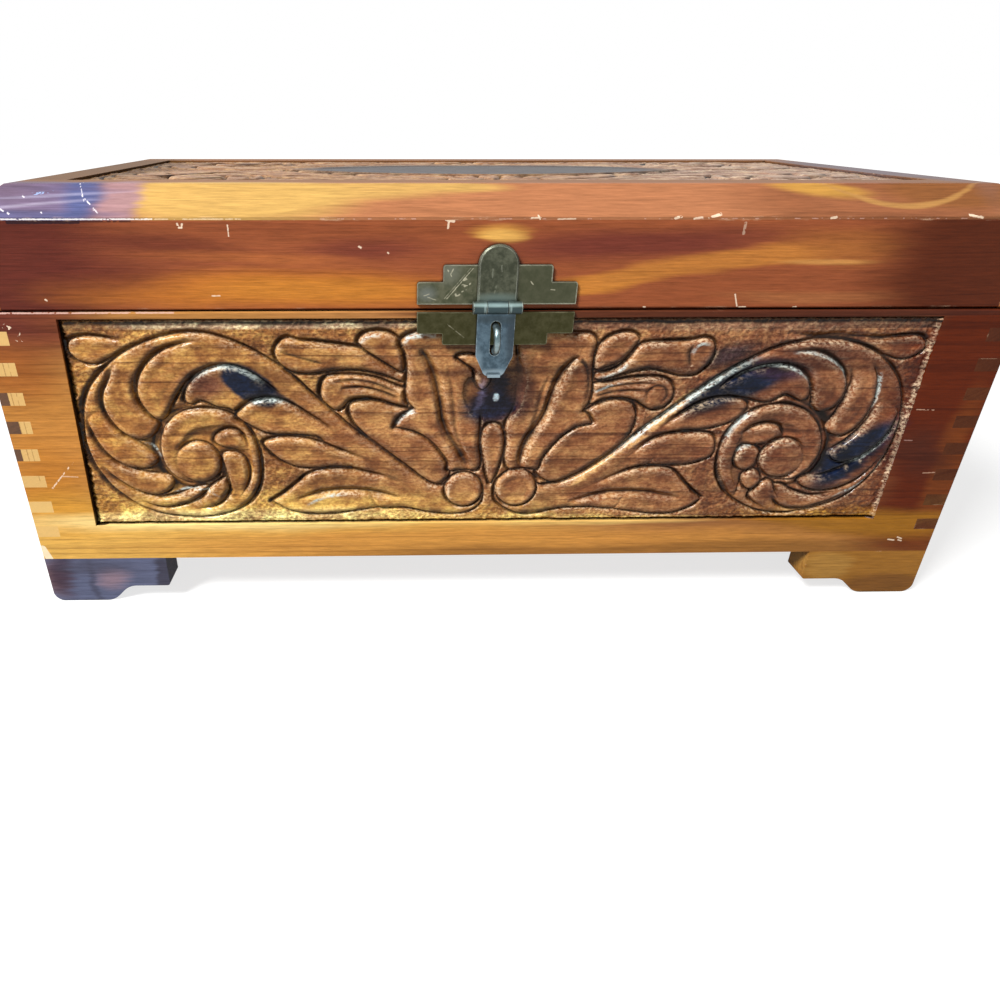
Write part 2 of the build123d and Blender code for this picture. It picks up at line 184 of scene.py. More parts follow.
def use(tree, group, inputs):
    """Puts a group into a tree and returns its outputs."""
    node = tree.nodes.new("ShaderNodeGroup")
    node.node_tree = group
    for socket, value in inputs.items():
        if isinstance(value, bpy.types.NodeSocket):
            tree.links.new(value, node.inputs[socket])
        else:
            node.inputs[socket].default_value = value
    return node.outputs


def vector_maths(tree, operation, *values):
    made = add(tree, "VectorMath", dict(enumerate(values)), operation=operation)
    return made.outputs["Value" if operation in ("LENGTH", "DISTANCE", "DOT_PRODUCT") else "Vector"]


def scaled(tree, vector, by):
    """A vector times another, part by part."""
    return vector_maths(tree, "MULTIPLY", vector, by)


def times(tree, vector, number):
    """A vector times one number, which another node may give."""
    return add(tree, "VectorMath", {0: vector, "Scale": number}, operation="SCALE").outputs["Vector"]


def noise(tree, vector, detail=2.0, roughness=0.5):
    """Soft 3D noise about 0.5, with cells one unit of the vector across."""
    made = add(tree, "TexNoise", {"Vector": vector, "Scale": 1.0, "Detail": detail, "Roughness": roughness})
    return made.outputs[0]


def drift_noise(tree, vector, detail=2.0):
    """The same noise as a vector about zero, to push a place about with."""
    made = add(tree, "TexNoise", {"Vector": vector, "Scale": 1.0, "Detail": detail})
    return vector_maths(tree, "SUBTRACT", made.outputs["Color"], (0.5, 0.5, 0.5))


def eased(tree, value, low, high):
    """0 up to low and 1 from high on, with a smooth rise between. low may be above high."""
    made = add(tree, "MapRange", {0: value, 1: low, 2: high}, interpolation_type="SMOOTHSTEP")
    return made.outputs[0]


def mixed(tree, amount, first, second, blend="MIX"):
    """A colour between first and second."""
    made = add(tree, "Mix", {0: amount, 6: first, 7: second}, data_type="RGBA", blend_type=blend)
    return made.outputs[2]


def tinted(tree, shade, mask, strength, tint):
    """A shade with a tint laid over it where the mask is 1."""
    return mixed(tree, maths(tree, "MULTIPLY", mask, strength), shade, tint)


def colour(red, green, blue):
    return (red, green, blue, 1)


# Growth rings about a pith line that runs along X, with fine fibres along it.
rings, given, gives = effect(
    "growth_rings",
    {"Place": (0, 0, 0), "Pith": (0, 0, 0), "Spacing": 2.0, "Wander": 4.0},
    {"Late wood": 0.0, "Fibre": 0.0, "Fleck": 0.0},
)
place = scaled(rings, given["Place"], (1000, 1000, 1000))
drift = times(rings, drift_noise(rings, scaled(rings, place, (0.009, 0.02, 0.02))), given["Wander"])
off_pith = vector_maths(rings, "SUBTRACT", vector_maths(rings, "ADD", place, drift), given["Pith"])
radius = vector_maths(rings, "LENGTH", scaled(rings, off_pith, (0, 1, 1)))
years = add(rings, "TexNoise", {"W": maths(rings, "DIVIDE", radius, 11.0), "Scale": 1.0, "Detail": 3.0},
            noise_dimensions="1D")
count = maths(rings, "DIVIDE", radius, given["Spacing"])
count = maths(rings, "MULTIPLY_ADD", years.outputs[0], 5.0, count)
within_year = maths(rings, "FRACT", count)
late = maths(rings, "MULTIPLY", eased(rings, within_year, 0.62, 0.95), eased(rings, within_year, 1.0, 0.96))
strong_year = noise(rings, scaled(rings, off_pith, (0.01, 0.25, 0.25)), 2.0)
rings.links.new(maths(rings, "MULTIPLY", late, eased(rings, strong_year, 0.30, 0.62)), gives["Late wood"])
fibre = noise(rings, scaled(rings, place, (0.05, 2.2, 2.2)), 5.0, 0.68)
rings.links.new(eased(rings, fibre, 0.28, 0.72), gives["Fibre"])
fleck = noise(rings, scaled(rings, place, (0.22, 5.5, 5.5)), 2.0)
rings.links.new(eased(rings, fleck, 0.60, 0.72), gives["Fleck"])

# The place pushed about a little across the grain, so that a zone of other wood gets a natural edge.
ragged, given, gives = effect("ragged_place", {"Place": (0, 0, 0), "Push": 1.0}, {"Place": (0, 0, 0)})
bends = drift_noise(ragged, scaled(ragged, given["Place"], (14, 60, 60)), 3.0)
bends = scaled(ragged, bends, (0.022, 0.009, 0.009))
streaks = drift_noise(ragged, scaled(ragged, given["Place"], (40, 700, 700)))
streaks = scaled(ragged, streaks, (0.010, 0.0010, 0.0010))
push = times(ragged, vector_maths(ragged, "ADD", bends, streaks), given["Push"])
ragged.links.new(vector_maths(ragged, "ADD", given["Place"], push), gives["Place"])

# A long soft-edged zone, such as a streak of sapwood or a knot. Lean tips it and Bow curves it.
zone, given, gives = effect(
    "wood_zone",
    {"Place": (0, 0, 0), "Middle": (0, 0, 0), "Reach": (1, 1, 1), "Lean": 0.0, "Bow": 0.0, "Edge": 0.3},
    {"Mask": 0.0},
)
off = vector_maths(zone, "SUBTRACT", scaled(zone, given["Place"], (1000, 1000, 1000)), given["Middle"])
parts = add(zone, "SeparateXYZ", {0: off}).outputs
height = maths(zone, "SUBTRACT", parts[2], maths(zone, "MULTIPLY", parts[0], given["Lean"]))
bend = maths(zone, "MULTIPLY", maths(zone, "MULTIPLY", parts[0], parts[0]), given["Bow"])
height = maths(zone, "SUBTRACT", height, bend)
off = add(zone, "CombineXYZ", {0: parts[0], 1: parts[1], 2: height}).outputs[0]
far = vector_maths(zone, "LENGTH", vector_maths(zone, "DIVIDE", off, given["Reach"]))
inner = maths(zone, "SUBTRACT", 1.0, given["Edge"])
outer = maths(zone, "ADD", 1.0, given["Edge"])
zone.links.new(eased(zone, far, outer, inner), gives["Mask"])

# A line mark of that width in mm on a front face: a scratch or a chip, and in some places a painted
# highlight or painted shadow.
FRONT_FACES = -55 * MM  # along Y: only what lies further forward is marked
line_mark, given, gives = effect(
    "line_mark",
    {"Place": (0, 0, 0), "From": (0, 0, 0), "To": (1, 0, 1), "Width": 0.4, "Breaks": 0.4},
    {"Mask": 0.0},
)
flat_place = scaled(line_mark, given["Place"], (1000, 0, 1000))
way = vector_maths(line_mark, "SUBTRACT", given["To"], given["From"])
off = vector_maths(line_mark, "SUBTRACT", flat_place, given["From"])
long = vector_maths(line_mark, "DOT_PRODUCT", off, way)
whole = vector_maths(line_mark, "DOT_PRODUCT", way, way)
nearest = times(line_mark, way, maths(line_mark, "DIVIDE", long, whole, clamp=True))
jitter = noise(line_mark, scaled(line_mark, given["Place"], (1500, 1500, 1500)), 3.0, 0.7)
jitter = maths(line_mark, "MULTIPLY_ADD", jitter, 0.5, -0.25)
far = maths(line_mark, "ADD", vector_maths(line_mark, "DISTANCE", off, nearest), jitter)
half = maths(line_mark, "MULTIPLY", given["Width"], 0.5)
line = eased(line_mark, far, maths(line_mark, "ADD", half, 0.12), maths(line_mark, "SUBTRACT", half, 0.08))
skips = noise(line_mark, scaled(line_mark, given["Place"], (700, 700, 700)), 1.0)
line = maths(line_mark, "MULTIPLY", line, maths(line_mark, "GREATER_THAN", skips, given["Breaks"]))
along_y = add(line_mark, "SeparateXYZ", {0: given["Place"]}).outputs[1]
ahead = maths(line_mark, "LESS_THAN", along_y, FRONT_FACES)
line_mark.links.new(maths(line_mark, "MULTIPLY", line, ahead), gives["Mask"])

# Where two faces meet outward, worn by handling.
worn_edges, given, gives = effect("worn_edges", {"Width": 0.0006, "Breaks": 0.5}, {"Mask": 0.0})
rounded = add(worn_edges, "Bevel", {"Radius": given["Width"]}, samples=4)
flat = add(worn_edges, "NewGeometry").outputs["True Normal"]
turn = vector_maths(worn_edges, "DOT_PRODUCT", rounded.outputs[0], flat)
where = add(worn_edges, "TexCoord").outputs["Object"]
patchy = noise(worn_edges, scaled(worn_edges, where, (90, 300, 300)), 4.0, 0.7)
edge = eased(worn_edges, turn, 0.985, 0.86)
worn_edges.links.new(
    maths(worn_edges, "MULTIPLY", edge, eased(worn_edges, patchy, given["Breaks"], 0.75)), gives["Mask"]
)

# The dark line of old polish and dust where pieces meet.
joint_lines, given, gives = effect("joint_lines", {"Width": 0.0012}, {"Mask": 0.0})
closeness = add(joint_lines, "AmbientOcclusion", {"Distance": given["Width"]}, samples=6)
joint_lines.links.new(eased(joint_lines, closeness.outputs["AO"], 0.82, 0.35), gives["Mask"])

# The room inside the closed box, where the cedar is bare.
inside_box, given, gives = effect("inside_box", {"Low": (0, 0, 0), "High": (1, 1, 1)}, {"Mask": 0.0})
where = add(inside_box, "TexCoord").outputs["Object"]
gaps = []
for first, second in ((where, given["Low"]), (given["High"], where)):
    gap = vector_maths(inside_box, "SUBTRACT", first, second)
    gaps += add(inside_box, "SeparateXYZ", {0: gap}).outputs
least = gaps[0]
for gap in gaps[1:]:
    least = maths(inside_box, "MINIMUM", least, gap)
inside_box.links.new(maths(inside_box, "GREATER_THAN", least, 0.0), gives["Mask"])

EARLY_RED = colour(0.40, 0.13, 0.040)
LATE_RED = colour(0.16, 0.030, 0.014)
SAP = colour(0.78, 0.40, 0.095)
BARE_EARLY = colour(0.52, 0.25, 0.13)
# old polish and dust; in the carving and on the field's left wall it is also painted shade
SHADE_AND_GRIME = colour(0.008, 0.0045, 0.003)
RAW_EDGE = colour(0.78, 0.52, 0.33)
# pale of rubbed wood, and of painted highlight where the carving faces the light
RUBBED_AND_LIT = colour(0.85, 0.64, 0.42)
# painted bluish highlight on the upper edges of some leaves
HIGHLIGHT_BLUE = colour(0.56, 0.64, 0.60)
PALE_SCRATCH = colour(0.85, 0.66, 0.48)

# the bare room inside the boards, a little into their faces
FACE_SKIN = 0.1 * MM
front_low, front_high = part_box("front_board")
back_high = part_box("back_board")[1]
rail_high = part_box("lid_front_rail")[1]
bottom_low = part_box("bottom_board")[0]
board = front_high.y - front_low.y
inside_low = Vector((front_low.x + board, front_low.y + board, bottom_low.z + board / 2))
inside_low -= Vector((FACE_SKIN, FACE_SKIN, 0))
inside_high = Vector((front_high.x - board, back_high.y - board, rail_high.z))
inside_high += Vector((FACE_SKIN, FACE_SKIN, FACE_SKIN))


def front_zone(along, across, half_along, half_across, tint, strength=1.0, lean=0.0, bow=0.0, edge=0.35,
               push=1.0):
    """A zone of other colour, by its middle and reach in mm along and across a board."""
    middle, reach = (along, 0, across), (half_along, ANY, half_across)
    return {
        "shape": {"Middle": middle, "Reach": reach, "Lean": lean, "Bow": bow, "Edge": edge},
        "push": push, "tint": tint, "strength": strength,
    }


def mark(x, z, to_x, to_z, width=0.4, tint=PALE_SCRATCH, strength=0.85, breaks=0.35):
    """A scratch, chip, or painted highlight or shadow line on a front face, from x and z to a point, in mm.
    """
    return {
        "shape": {"From": (x, 0, z), "To": (to_x, 0, to_z), "Width": width, "Breaks": breaks},
        "tint": tint, "strength": strength,
    }


def with_zones(tree, shade, zones, where, natural=True):
    """A shade with zones laid over it. Natural ones have edges that follow the grain."""
    places = {spot["push"]: where for spot in zones}
    if natural:
        places = {push: use(tree, ragged, {"Place": where, "Push": push})[0] for push in places}
    for spot in zones:
        mask = use(tree, zone, spot["shape"] | {"Place": places[spot["push"]]})[0]
        shade = tinted(tree, shade, mask, spot["strength"], spot["tint"])
    return shade


def with_marks(tree, shade, marks, where):
    """A shade with scratches, chips and painted highlight and shadow lines laid over it."""
    for line in marks:
        mask = use(tree, line_mark, line["shape"] | {"Place": where})[0]
        shade = tinted(tree, shade, mask, line["strength"], line["tint"])
    return shade


def carved_layer(tree, name):
    """A layer that a carving wrote onto its mesh, such as its stain and painted shade. It is 0 on any other
    mesh.
    """
    return add(tree, "Attribute", attribute_name=name).outputs["Fac"]


def punched(tree, shade, carved, matted, grit, where):
    """A carved shade: specked by the punch, blotched with polish, and pale with rubbing and painted
    highlight.
    """
    level = maths(tree, "SUBTRACT", eased(tree, grit, 0.32, 0.66), 0.45)
    level = maths(tree, "MULTIPLY_ADD", level, matted, 1.05)
    blotch = eased(tree, noise(tree, scaled(tree, where, (150, 200, 200)), 3.0, 0.6), 0.34, 0.66)
    level = maths(tree, "MULTIPLY", level, maths(tree, "MULTIPLY_ADD", blotch, 0.78, 0.56))
    warm = maths(tree, "POWER", level, 1.4)
    level = add(tree, "CombineColor", {0: level, 1: warm, 2: warm}).outputs[0]
    shade = mixed(tree, carved, shade, mixed(tree, 1.0, shade, level, "MULTIPLY"))
    rubbed_and_highlit = maths(tree, "MULTIPLY", carved_layer(tree, "rub_and_highlight"), eased(tree, grit, 0.40, 0.62))
    return tinted(tree, shade, rubbed_and_highlit, 0.9, RUBBED_AND_LIT)


def cedar(name, pith, spacing=2.2, early=EARLY_RED, late=LATE_RED, zones=(), marks=(), axes=(0, 1, 2),
          wander=5.0, wear=0.55, end_grain=None, figure=0.4, carved=0.0, gloss=None):
    """Varnished red cedar. pith is a point in mm on the line that its rings go round, and axes are those of
    the row that run along the board, through it and across it."""
    material, tree, out = new_material(name)
    row = add(tree, "TexCoord").outputs["Object"]
    parts = add(tree, "SeparateXYZ", {0: row}).outputs
    where = add(tree, "CombineXYZ", {i: parts[axis] for i, axis in enumerate(axes)}).outputs[0]
    late_wood, fibre, fleck = use(
        tree, rings, {"Place": where, "Pith": pith, "Spacing": spacing, "Wander": wander})[:3]

    # early wood with zones of other wood in it, then the year lines and flecks
    shade = with_zones(tree, tinted(tree, early, fibre, 0.22, late), zones, where)
    lines = maths(tree, "MULTIPLY", late_wood, figure)
    lines = maths(tree, "MAXIMUM", lines, maths(tree, "MULTIPLY", fleck, figure * 0.35))
    shade = mixed(tree, lines, shade, mixed(tree, 0.8, shade, late, "MULTIPLY"))

    # soft clouds, fibres and pores, so that no face is of one even shade
    cloud = noise(tree, scaled(tree, where, (9, 55, 55)), 3.0)
    grain = maths(tree, "MULTIPLY_ADD", fibre, 0.18, maths(tree, "MULTIPLY_ADD", cloud, 0.4, 0.71))
    pores = noise(tree, scaled(tree, where, (120, 1400, 1400)), 4.0, 0.68)
    grain = maths(tree, "ADD", grain, maths(tree, "SUBTRACT", pores, 0.5))
    grain = add(tree, "CombineColor", {0: grain, 1: grain, 2: grain}).outputs[0]
    shade = mixed(tree, 1.0, shade, grain, "MULTIPLY")

    # an end board shows only the cut ends of its fingers at the front, so they take its marks
    if end_grain:
        cut_ends = with_marks(tree, end_grain, marks, row)
        along = (1, 0, 0) if axes[0] == 0 else (0, 1, 0)
        facing = vector_maths(tree, "DOT_PRODUCT", add(tree, "TexCoord").outputs["Normal"], along)
        facing = maths(tree, "GREATER_THAN", maths(tree, "ABSOLUTE", facing), 0.8)
        shade = mixed(tree, facing, shade, tinted(tree, cut_ends, cloud, 0.3, shade))
    else:
        shade = with_marks(tree, shade, marks, row)

    # the wood was never varnished inside the box
    inside = use(tree, inside_box, {"Low": inside_low, "High": inside_high})[0]
    bare = mixed(tree, maths(tree, "MULTIPLY_ADD", late_wood, 0.5, maths(tree, "MULTIPLY", fibre, 0.4)),
                 BARE_EARLY, late)
    shade = mixed(tree, inside, shade, bare)

    # carved wood is matted wherever no leaf stands
    grit = noise(tree, scaled(tree, where, (850, 1300, 1300)), 4.0, 0.7)
    if carved:
        matted = maths(tree, "MULTIPLY_ADD", carved_layer(tree, "matted"), 0.48, 0.52)
        shade = punched(tree, shade, carved, matted, grit, where)

    # edges worn raw, old polish in the joints, old polish and painted shade in the cuts, and a painted
    # bluish highlight on some leaves
    worn = use(tree, worn_edges, {"Width": 0.7 * MM, "Breaks": wear})[0]
    shade = tinted(tree, shade, worn, 0.7, RAW_EDGE)
    in_joints = use(tree, joint_lines, {"Width": 1.2 * MM})[0]
    dark = maths(tree, "MAXIMUM", in_joints, carved_layer(tree, "stain_and_shade"))
    shade = tinted(tree, shade, dark, 0.97 if carved else 0.92, SHADE_AND_GRIME)
    if carved:
        painted_highlight = maths(tree, "MULTIPLY", carved_layer(tree, "painted_highlight"), eased(tree, grit, 0.36, 0.56))
        shade = tinted(tree, shade, painted_highlight, 0.9, HIGHLIGHT_BLUE)

    # the varnish, which follows the grain, and none of it inside
    dull = maths(tree, "MULTIPLY_ADD", noise(tree, scaled(tree, where, (60, 200, 200)), 4.0), 0.25, 0.22)
    dull = maths(tree, "MAXIMUM", dull, maths(tree, "MULTIPLY", inside, 0.75))
    relief = maths(tree, "MULTIPLY_ADD", late_wood, 0.5, fibre)
    bump = add(tree, "Bump", {"Height": relief, "Strength": 0.3, "Distance": 0.12 * MM})
    if carved:
        grit = maths(tree, "MULTIPLY", grit, matted)
        bump = add(tree, "Bump", {
            "Height": grit, "Strength": 1.0, "Distance": 0.55 * MM, "Normal": bump.outputs[0],
        })
    gloss = gloss or (0.34 if carved else 0.2)
    coat = maths(tree, "MULTIPLY_ADD", inside, -gloss, gloss)
    skin = add(tree, "BsdfPrincipled", {
        "Base Color": shade, "Roughness": dull, "Normal": bump.outputs[0], "Specular IOR Level": 0.0,
        "Coat Weight": coat, "Coat Roughness": 0.14, "Coat IOR": 1.45,
    })
    tree.links.new(skin.outputs[0], out.inputs["Surface"])
    return material


def dress(node, material, soften=0.0):
    """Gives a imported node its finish, and rounds its edges by soften metres."""
    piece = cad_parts[node]
    piece.data.materials.clear()
    piece.data.materials.append(material)
    if soften:
        bevel = piece.modifiers.new("softened_edges", "BEVEL")
        bevel.width = soften
        bevel.segments = 2
        bevel.limit_method = "ANGLE"
        bevel.angle_limit = math.radians(40)
        bevel.harden_normals = True
    return piece


PURPLE = colour(0.12, 0.020, 0.018)
ORANGE = colour(0.58, 0.25, 0.050)
BROWN = colour(0.20, 0.070, 0.022)
UMBER = colour(0.075, 0.016, 0.007)
NAVY = colour(0.004, 0.008, 0.024)
STRAW = colour(0.72, 0.405, 0.088)


def wall_zone(x, tint, strength):
    """A zone of a side wall of the sunk field, from just behind the board's own face down to its floor."""
    wall = front_zone(x, 52, 3, 53, tint, strength, edge=0.1, push=0.0)
    wall["shape"] |= {"Middle": (x, -67.7, 52), "Reach": (3, 1.45, 53)}
    return wall


front_cut = dict(
    pith=(0, -40, -190), spacing=6.5, wander=2.5,
    early=colour(0.44, 0.198, 0.051), late=colour(0.13, 0.032, 0.011),
    zones=(
        # the board darker towards the right, partly its own tone and partly painted shade for weaker light
        front_zone(15, 60, 70, 60, colour(0.34, 0.138, 0.053), 0.8, edge=0.6),
        front_zone(108, 75, 70, 60, colour(0.22, 0.075, 0.033), 0.9, edge=0.6),
        front_zone(-152, 101, 30, 16, colour(0.16, 0.036, 0.016), 0.95, edge=0.4),
        front_zone(-150, 97, 12, 10, PURPLE, 0.6, edge=0.6),
        front_zone(-148, 62, 26, 26, colour(0.50, 0.205, 0.040), 0.85, edge=0.5),
        front_zone(-148, 84, 14, 9, colour(0.30, 0.080, 0.014), 0.65, edge=0.7),
        front_zone(-90, 24, 110, 16, STRAW, 0.95, edge=0.45),
        front_zone(-146, 46, 10, 13, colour(0.48, 0.175, 0.022), 0.7, edge=0.7),
        front_zone(-141, 36, 14, 8, colour(0.60, 0.28, 0.035), 0.75, edge=0.7),
        front_zone(-92, 32.4, 60, 3.8, colour(0.92, 0.70, 0.29), 0.8, edge=0.5),
        front_zone(0, 31.3, 70, 1.5, colour(0.80, 0.52, 0.16), 0.8, edge=0.4, push=0.4),
        front_zone(10, 22, 120, 7, ORANGE, 0.85, edge=0.4),
        front_zone(60, 19, 110, 3.5, colour(0.24, 0.10, 0.022), 0.8, lean=0.015, edge=0.5),
        front_zone(146, 70, 24, 60, colour(0.108, 0.013, 0.001), 0.97, edge=0.35),
        front_zone(148, 48, 5, 28, colour(0.19, 0.046, 0.008), 0.8, edge=0.4, push=0.3),
        front_zone(138, 56, 10, 8, UMBER, 0.9, edge=0.7),
        front_zone(128, 30, 40, 5, colour(0.36, 0.15, 0.012), 0.85, lean=-0.05, edge=0.5),
        front_zone(-90, 80.5, 7, 4.5, colour(0.12, 0.032, 0.022), 0.85, edge=0.6, push=0.3),
        front_zone(-76.6, 80.0, 8.8, 5.9, NAVY, 1.0, lean=-0.42, edge=0.14, push=0.25),
        front_zone(-68, 76.5, 7, 1.2, NAVY, 0.8, lean=-0.55, edge=0.5, push=0.2),
        front_zone(73, 79.8, 15, 6.9, NAVY, 1.0, lean=0.4, bow=-0.010, edge=0.22, push=0.3),
        front_zone(86, 84.5, 9, 3.4, colour(0.035, 0.014, 0.034), 0.85, lean=-0.1, edge=0.5, push=0.3),
        front_zone(68, 89.5, 7, 3.4, colour(0.018, 0.012, 0.022), 0.85, lean=0.3, edge=0.6, push=0.5),
        front_zone(95, 90, 12, 3.0, colour(0.09, 0.030, 0.020), 0.55, lean=-0.1, edge=0.8, push=0.4),
        front_zone(116, 55, 13, 7.5, NAVY, 1.0, lean=0.75, edge=0.3, push=0.5),
        front_zone(-1, 76, 9, 10, colour(0.085, 0.030, 0.018), 0.85, edge=0.4, push=0.5),
        front_zone(-3.5, 72, 9, 5, NAVY, 0.95, edge=0.35, push=0.6),
        front_zone(-1.5, 80, 3, 7, NAVY, 0.9, edge=0.5, push=0.5),
        # painted glint in the knot hollow
        front_zone(-1.2, 75.2, 0.9, 1.3, colour(0.60, 0.70, 0.76), 1.0, edge=0.35, push=0.1),
        # painted purple-blue reflection beside it
        front_zone(-6.6, 76, 1.3, 3.6, colour(0.15, 0.14, 0.25), 0.75, lean=1.2, edge=0.9, push=0.4),
        front_zone(7.5, 78, 3.4, 10, colour(0.070, 0.022, 0.014), 0.8, edge=0.6, push=0.4),
        # painted shade under the lid's edge, along the board's top at the right
        front_zone(62, 102.4, 92, 1.7, UMBER, 0.93, edge=0.15, push=0.1),
    ),
    marks=(
        # painted highlight along the board's top edge at the left
        mark(-152, 102.9, -96, 102.9, 0.35, colour(0.62, 0.42, 0.36), 0.6, breaks=0.35),
        mark(-135, 54.7, -143.5, 45.2, 0.35, breaks=0.48),
        mark(-139, 49.6, -134.5, 49.4, 0.3, strength=0.5),
        mark(-145, 99, -142, 97, 1.6, breaks=0.5),
        mark(-143, 95.5, -141.5, 94.5, 1.0, breaks=0.5),
        mark(131.5, 71.2, 137, 71.0, 0.3, colour(0.6, 0.36, 0.24), 0.7),
        mark(131, 60.5, 133.5, 60.4, 0.3, colour(0.5, 0.3, 0.25), 0.6),
        mark(137.5, 22.5, 139.5, 22.2, 0.5),
        mark(140.5, 23.4, 142, 22.8, 0.45),
        mark(141, 22.3, 142.2, 21.9, 0.4),
        mark(-152, 22, -150.5, 17.5, 2.4, colour(0.88, 0.74, 0.5), 0.9, breaks=0.2),
        mark(141, 48.5, 147, 48.7, 0.3, colour(0.6, 0.36, 0.24), 0.7),
    ),
)
# painted shadow on the field's left wall, and painted light on its right wall
walls = (wall_zone(-131.2, SHADE_AND_GRIME, 0.9), wall_zone(130.6, colour(0.80, 0.55, 0.46), 0.6))
board_cut = front_cut | {"zones": front_cut["zones"] + walls}
dress("front_board", cedar("front_board_cedar", figure=0.4, wear=0.66, **board_cut))
back_wood = cedar("back_board_cedar", pith=(0, -40, 160), spacing=3.0, zones=(
    front_zone(60, 30, 110, 10, SAP, 0.9),
    front_zone(-90, 80, 60, 14, PURPLE, 0.7),
    front_zone(20, 62, 7, 5, NAVY, 0.9),
))
dress("back_board", back_wood)
SIDEWAYS = (1, 0, 2)
left_wood = cedar(
    "left_end_cedar", pith=(0, -120, -10), spacing=3.2, axes=SIDEWAYS, end_grain=colour(0.72, 0.47, 0.17),
    zones=(
        front_zone(0, 30, 120, 14, SAP, 0.9),
        front_zone(20, 85, 90, 12, PURPLE, 0.8),
    ),
    marks=(
        mark(-151.5, 72, -151.5, 80, 3.8, NAVY, 0.9, breaks=0),
        mark(-151.0, 62, -151.0, 71, 4.8, NAVY, 0.9, breaks=0),
        mark(-152.4, 53, -152.4, 62, 4.2, NAVY, 0.9, breaks=0),
        mark(-148.6, 90, -148.4, 50, 0.25, BROWN, 0.5),
        mark(-147, 88, -146.8, 48, 0.2, BROWN, 0.5),
    ),
)
dress("left_end_board", left_wood)
right_wood = cedar(
    "right_end_cedar", pith=(0, 118, 130), spacing=3.2, axes=SIDEWAYS, end_grain=colour(0.045, 0.008, 0.002),
    zones=(
        front_zone(-20, 35, 60, 8, SAP, 0.8),
        front_zone(30, 70, 14, 7, NAVY, 0.9),
        front_zone(10, 95, 90, 14, PURPLE, 0.6),
    ),
)
dress("right_end_board", right_wood)
dress("bottom_board", cedar("bottom_cedar", pith=(0, 20, -60), spacing=3.5))


# ---- carved field of the front board ----
# Low relief cut into the front board: two scrolls with leaves, turned toward each other and springing
# from a pair of round bosses. The ground is matted with a punch, and old polish and painted shade lie dark
# in the cuts. Edges that face the light at the upper left carry painted highlights.
# Places are in mm: x from the box's middle, and z from the board's top edge, so that it is negative.

FIELD_LEFT, FIELD_RIGHT = -130.0, 130.0
FIELD_TOP, FIELD_BOTTOM = -2.1, -72.4
FIELD_FLOOR = -2.6  # the depth that the board is sunk to
FIELD_LEAN = 2.4  # how far the field's left edge leans out at its foot
LEAN_WIDTH = 10.0  # and how far in from that edge it is felt
GROUND = -1.15  # where the matted ground lies
DEEPEST, HIGHEST = FIELD_FLOOR + 0.06, -0.03  # all of it stays between the field's floor and the face
TUCK = 0.25  # how far the carving reaches into the wood around it
GRID = 0.32
LINE_STEP = 0.7  # between the points of a smooth line
NOISE_CELLS = 256  # after which soft noise repeats
NOISE_START = 500  # cells into it, where the zero of the drawing lies
BANK = 0.6  # the steep bank at a leaf's foot
SWELL = 3.2  # shoulder widths over which a leaf goes on swelling
LEFTWARD, UPWARD = 0.6, 0.8  # the way to the upper left, where the light comes from


def smooth_line(points, closed=False):
    """A smooth line through given points. A point given twice in a row is a corner."""
    points = np.array(points, float)
    if closed:
        spans = [np.roll(points, shift, 0) for shift in (1, 0, -1, -2)]
    else:
        ends = np.vstack([points[:1], points, points[-1:]])
        spans = [ends[i:len(ends) - 3 + i] for i in range(4)]
    line = []
    for a, b, c, d in zip(*spans):
        steps = max(1, int(np.linalg.norm(c - b) / LINE_STEP))
        t = (np.arange(steps) / steps)[:, None]
        line.append(b + 0.5 * t * (c - a + t * (2 * a - 5 * b + 4 * c - d + t * (3 * (b - c) + d - a))))
    line.append(points[:1] if closed else points[-1:])
    return np.vstack(line)


def soft_noise(x, z, size, seed):
    """Smooth noise from -1 to 1 with cells of that size."""
    dice = np.random.default_rng(seed)
    grid = dice.uniform(-1, 1, (NOISE_CELLS, NOISE_CELLS))
    x, z = x / size + NOISE_START, z / size + NOISE_START
    i, j = np.floor(x).astype(int), np.floor(z).astype(int)
    across, up = x - i, z - j
    across, up = across * across * (3 - 2 * across), up * up * (3 - 2 * up)
    i, j, next_i, next_j = (cell % NOISE_CELLS for cell in (i, j, i + 1, j + 1))
    low = grid[i, j] * (1 - across) + grid[next_i, j] * across
    high = grid[i, next_j] * (1 - across) + grid[next_i, next_j] * across
    return low * (1 - up) + high * up


def shoulder_rise(share):
    """A quarter round: 0 at the edge and 1 from a full share on."""
    return np.sqrt(1 - (1 - np.clip(share, 0, 1)) ** 2)


